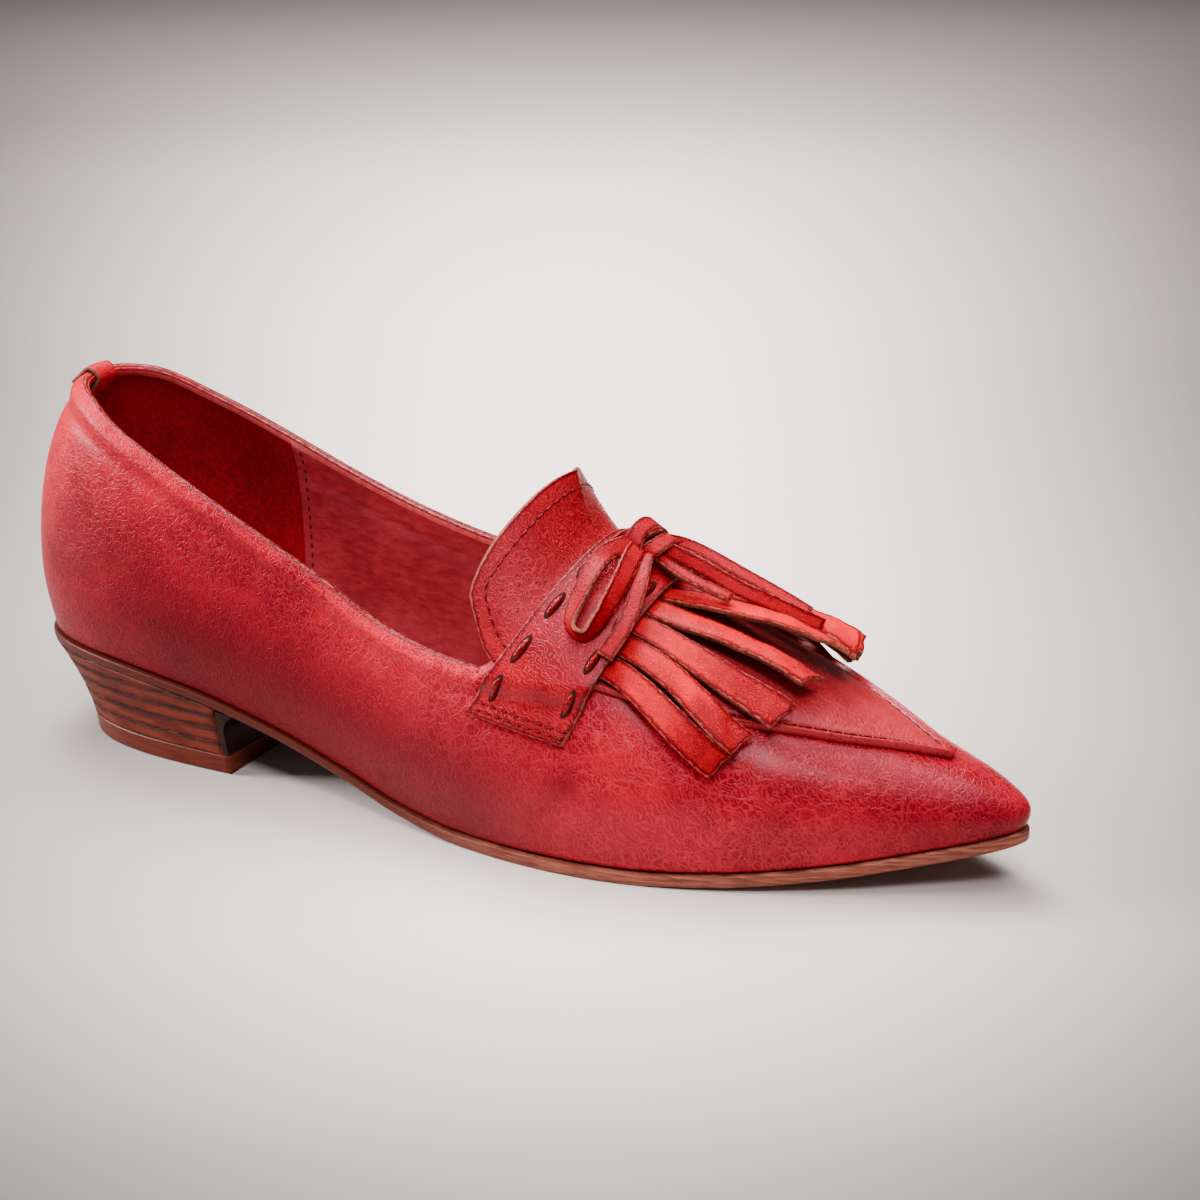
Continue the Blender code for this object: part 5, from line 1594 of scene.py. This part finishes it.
# %% Stitches of the tongue, the apron and the lining
def inset_row(u0, u1, v0, v1, n=60):
    """A row that runs up one side of the tongue, along its rim and down the other side."""
    up = np.linspace(u0, u1, n)
    level = np.linspace(v0, v1, n * 2)
    bow_shape = np.concatenate([up, np.full(2 * n, u1), up[::-1]])
    return bow_shape, np.concatenate([np.full(n, v0), level, np.full(n, v1)])


rows = [surface_row(tongue_spot, *inset_row(0.30, 0.86, 0.055, 0.945), TONGUE_THICKNESS)]
raised = shifted(rows, 0.00008)
sew("tongue_stitches", raised, 0.0029, (0.0021, 0.0005, 0.0005), red_thread)
sew("tongue_holes", rows, 0.0029, (0.0030, 0.0006, 0.0002), hole_shade_and_dark_thread)

lengths = np.linspace(0.66, 0.926, 120) * SHOE_LENGTH
reach = apron_reach(lengths)
inside = 0.0022 * np.clip(reach / 0.004, 0.2, 1)
girth = np.concatenate([-(reach - inside), (reach - inside)[::-1]])
lengths = np.concatenate([lengths, lengths[::-1]])
normal = read_map(SKIN_NORMAL, lengths, girth)
rows = [(over_skin(lengths, girth, GAP + APRON_THICKNESS - 0.0002), normal)]
sunk = shifted(rows, -0.00005)
sew("apron_stitches", rows, 0.0034, (0.0026, 0.0006, 0.0006), red_thread)
sew("apron_holes", sunk, 0.0034, (0.0034, 0.0008, 0.0005), hole_shade_and_dark_thread)

rows = []
for side in (-1, 1):
    x = SEAM_OF_LININGS + 0.0026
    top = collar_share(side, x, 0)
    normals = -section_normal(side, x, 0, top * INNER_ROWS)
    rows.append(((lining_face(side, x, 0, top) + normals * 0.00003)[6:-2], normals[6:-2]))
sew("lining_stitches", rows, 0.0025, (0.0014, 0.0006, 0.0004), hole_shade_and_dark_thread)

# %% A finish for the solid that stays
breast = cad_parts["heel_breast_facing"]
breast.data.materials.clear()
breast.data.materials.append(painted_shade_facing)
print("finished solid:", breast.name)

# %% [markdown]
# ## Floor and light
# The photograph is a product shot on a pale grey sweep. A large soft light hangs above the
# shoe and another above and behind it. A third, low on the left, fills the heel and the side,
# and a small one in front makes the gleam over the toes. A last light reaches the backdrop.
# The sweep's light and shade are painted into its colour: it darkens near the camera, far away
# and to both sides, as a colour ramp over the floor's length and a soft fall to its sides.


# %% Floor and backdrop
FLOOR_SHADE = [  # distance over the floor from under the camera, and how pale the sweep's painted light is there
    (0.40, 0.17), (0.4225, 0.24), (0.441, 0.34), (0.461, 0.43), (0.503, 0.60), (0.72, 0.76),
    (1.07, 0.84), (1.38, 0.80), (1.57, 0.56), (1.81, 0.38), (2.10, 0.22),
]


SHADE_FOOT = (0.3794, -0.5131, 0.0)
SHADE_REACH, HALF_SPREAD = 2.4, 0.227
SWEEP_FRONT_EDGE, SWEEP_TURNS, SWEEP_BEND, SWEEP_TOP, SWEEP_SIDE = -3.0, 1.6, 0.9, 3.0, 4


def sweep_with_painted_light():
    """Pale paint with painted light and shade: a pale pool in the middle, darker near and far and
    to both sides.
    """
    material, tree, shader, place = new_material("painted_light_sweep", 0.75)
    from_foot = add(tree, "ShaderNodeVectorMath", {"operation": "SUBTRACT"}, i0=place)
    from_foot.inputs[1].default_value = SHADE_FOOT
    sine, cosine = math.sin(AZIMUTH), math.cos(AZIMUTH)
    parts = []
    for direction in ((-sine, cosine, 0), (cosine, sine, 0)):
        dot = {"operation": "DOT_PRODUCT"}
        dot = add(tree, "ShaderNodeVectorMath", dot, i0=from_foot.outputs[0])
        dot.inputs[1].default_value = direction
        parts.append(dot.outputs["Value"])
    distance, beside = parts
    spread = calc(tree, "DIVIDE", calc(tree, "DIVIDE", beside, distance), HALF_SPREAD)
    # Painted light and shade: the ramp is a pale pool over the middle of the floor, darker near and
    # far, and the fall below darkens both sides.
    ramp = add(tree, "ShaderNodeValToRGB", Fac=calc(tree, "DIVIDE", distance, SHADE_REACH))
    while len(ramp.color_ramp.elements) < len(FLOOR_SHADE):
        ramp.color_ramp.elements.new(1.0)
    for element, (far, shade) in zip(ramp.color_ramp.elements, FLOOR_SHADE):
        element.position = far / SHADE_REACH
        element.color = (shade, shade * 0.87, shade * 0.81, 1)
    fall = times(
        tree, step(tree, distance, 0.4, 1.0, -0.72, -1.6),
        step(tree, distance, 1.3, 2.1, 1.0, 0.36), step(tree, distance, 0.1, 0.38),
    )
    wide = calc(tree, "MINIMUM", times(tree, spread, spread), 1.5)
    sides = calc(tree, "EXPONENT", times(tree, wide, fall))
    grey = add(tree, "ShaderNodeCombineColor", i0=sides, i1=sides, i2=sides).outputs[0]
    color = mix(tree, 1.0, ramp.outputs["Color"], grey, "MULTIPLY")
    tree.links.new(color, shader.inputs["Base Color"])
    return material


def make_floor(material):
    """A pale floor that curves up into a backdrop."""
    profile = [(SWEEP_FRONT_EDGE, 0.0), (SWEEP_TURNS, 0.0)]
    for a in np.linspace(0, math.pi / 2, 12)[1:]:
        profile.append((SWEEP_TURNS + SWEEP_BEND * math.sin(a), SWEEP_BEND * (1 - math.cos(a))))
    profile.append((SWEEP_TURNS + SWEEP_BEND, SWEEP_TOP))
    points = [(x, y, z) for y, z in profile for x in (-SWEEP_SIDE, SWEEP_SIDE)]
    faces = [(2 * i, 2 * i + 1, 2 * i + 3, 2 * i + 2) for i in range(len(profile) - 1)]
    mesh = bpy.data.meshes.new("floor")
    mesh.from_pydata(points, [], faces)
    mesh.shade_smooth()
    mesh.materials.append(material)
    floor = bpy.data.objects.new("floor", mesh)
    bpy.context.collection.objects.link(floor)


def soft_light(name, spot, aim, size, power):
    """A soft light, long and wide, that looks at a point."""
    data = bpy.data.lights.new(name, "AREA")
    data.shape, data.size, data.size_y = "RECTANGLE", *size
    data.energy = power
    lamp = bpy.data.objects.new(name, data)
    z = unit(np.subtract(spot, aim))
    x = unit(np.cross((0, 1, 0.2), z))
    turn = np.eye(4)
    turn[:3] = np.stack([x, np.cross(z, x), z, spot], 1)
    lamp.matrix_world = Matrix(turn.tolist())
    bpy.context.collection.objects.link(lamp)


make_floor(sweep_with_painted_light())
MIDDLE = (0.09, 0, 0.03)
for light in (  # name, place, aim, size in metres, power in watts
    ("key", (-0.25, 0.30, 0.95), MIDDLE, (0.6, 0.45), 24),
    ("front", (0.42, -0.56, 0.78), MIDDLE, (0.30, 0.20), 8),
    ("top", (0.25, -0.05, 1.2), MIDDLE, (1.1, 0.8), 22),
    ("left", (-0.95, -0.38, 0.55), MIDDLE, (0.5, 0.4), 30),
    ("sweep", (-0.50, 1.00, 1.60), (-0.45, 0.95, 0), (1.0, 1.0), 18),
):
    soft_light(*light)
world = bpy.data.worlds.new("studio")
world.use_nodes = True
sky = world.node_tree.nodes["Background"]
sky.inputs["Color"].default_value = (0.9, 0.91, 0.93, 1)
sky.inputs["Strength"].default_value = 0.25
bpy.context.scene.world = world
print("lights:", len(bpy.data.lights))
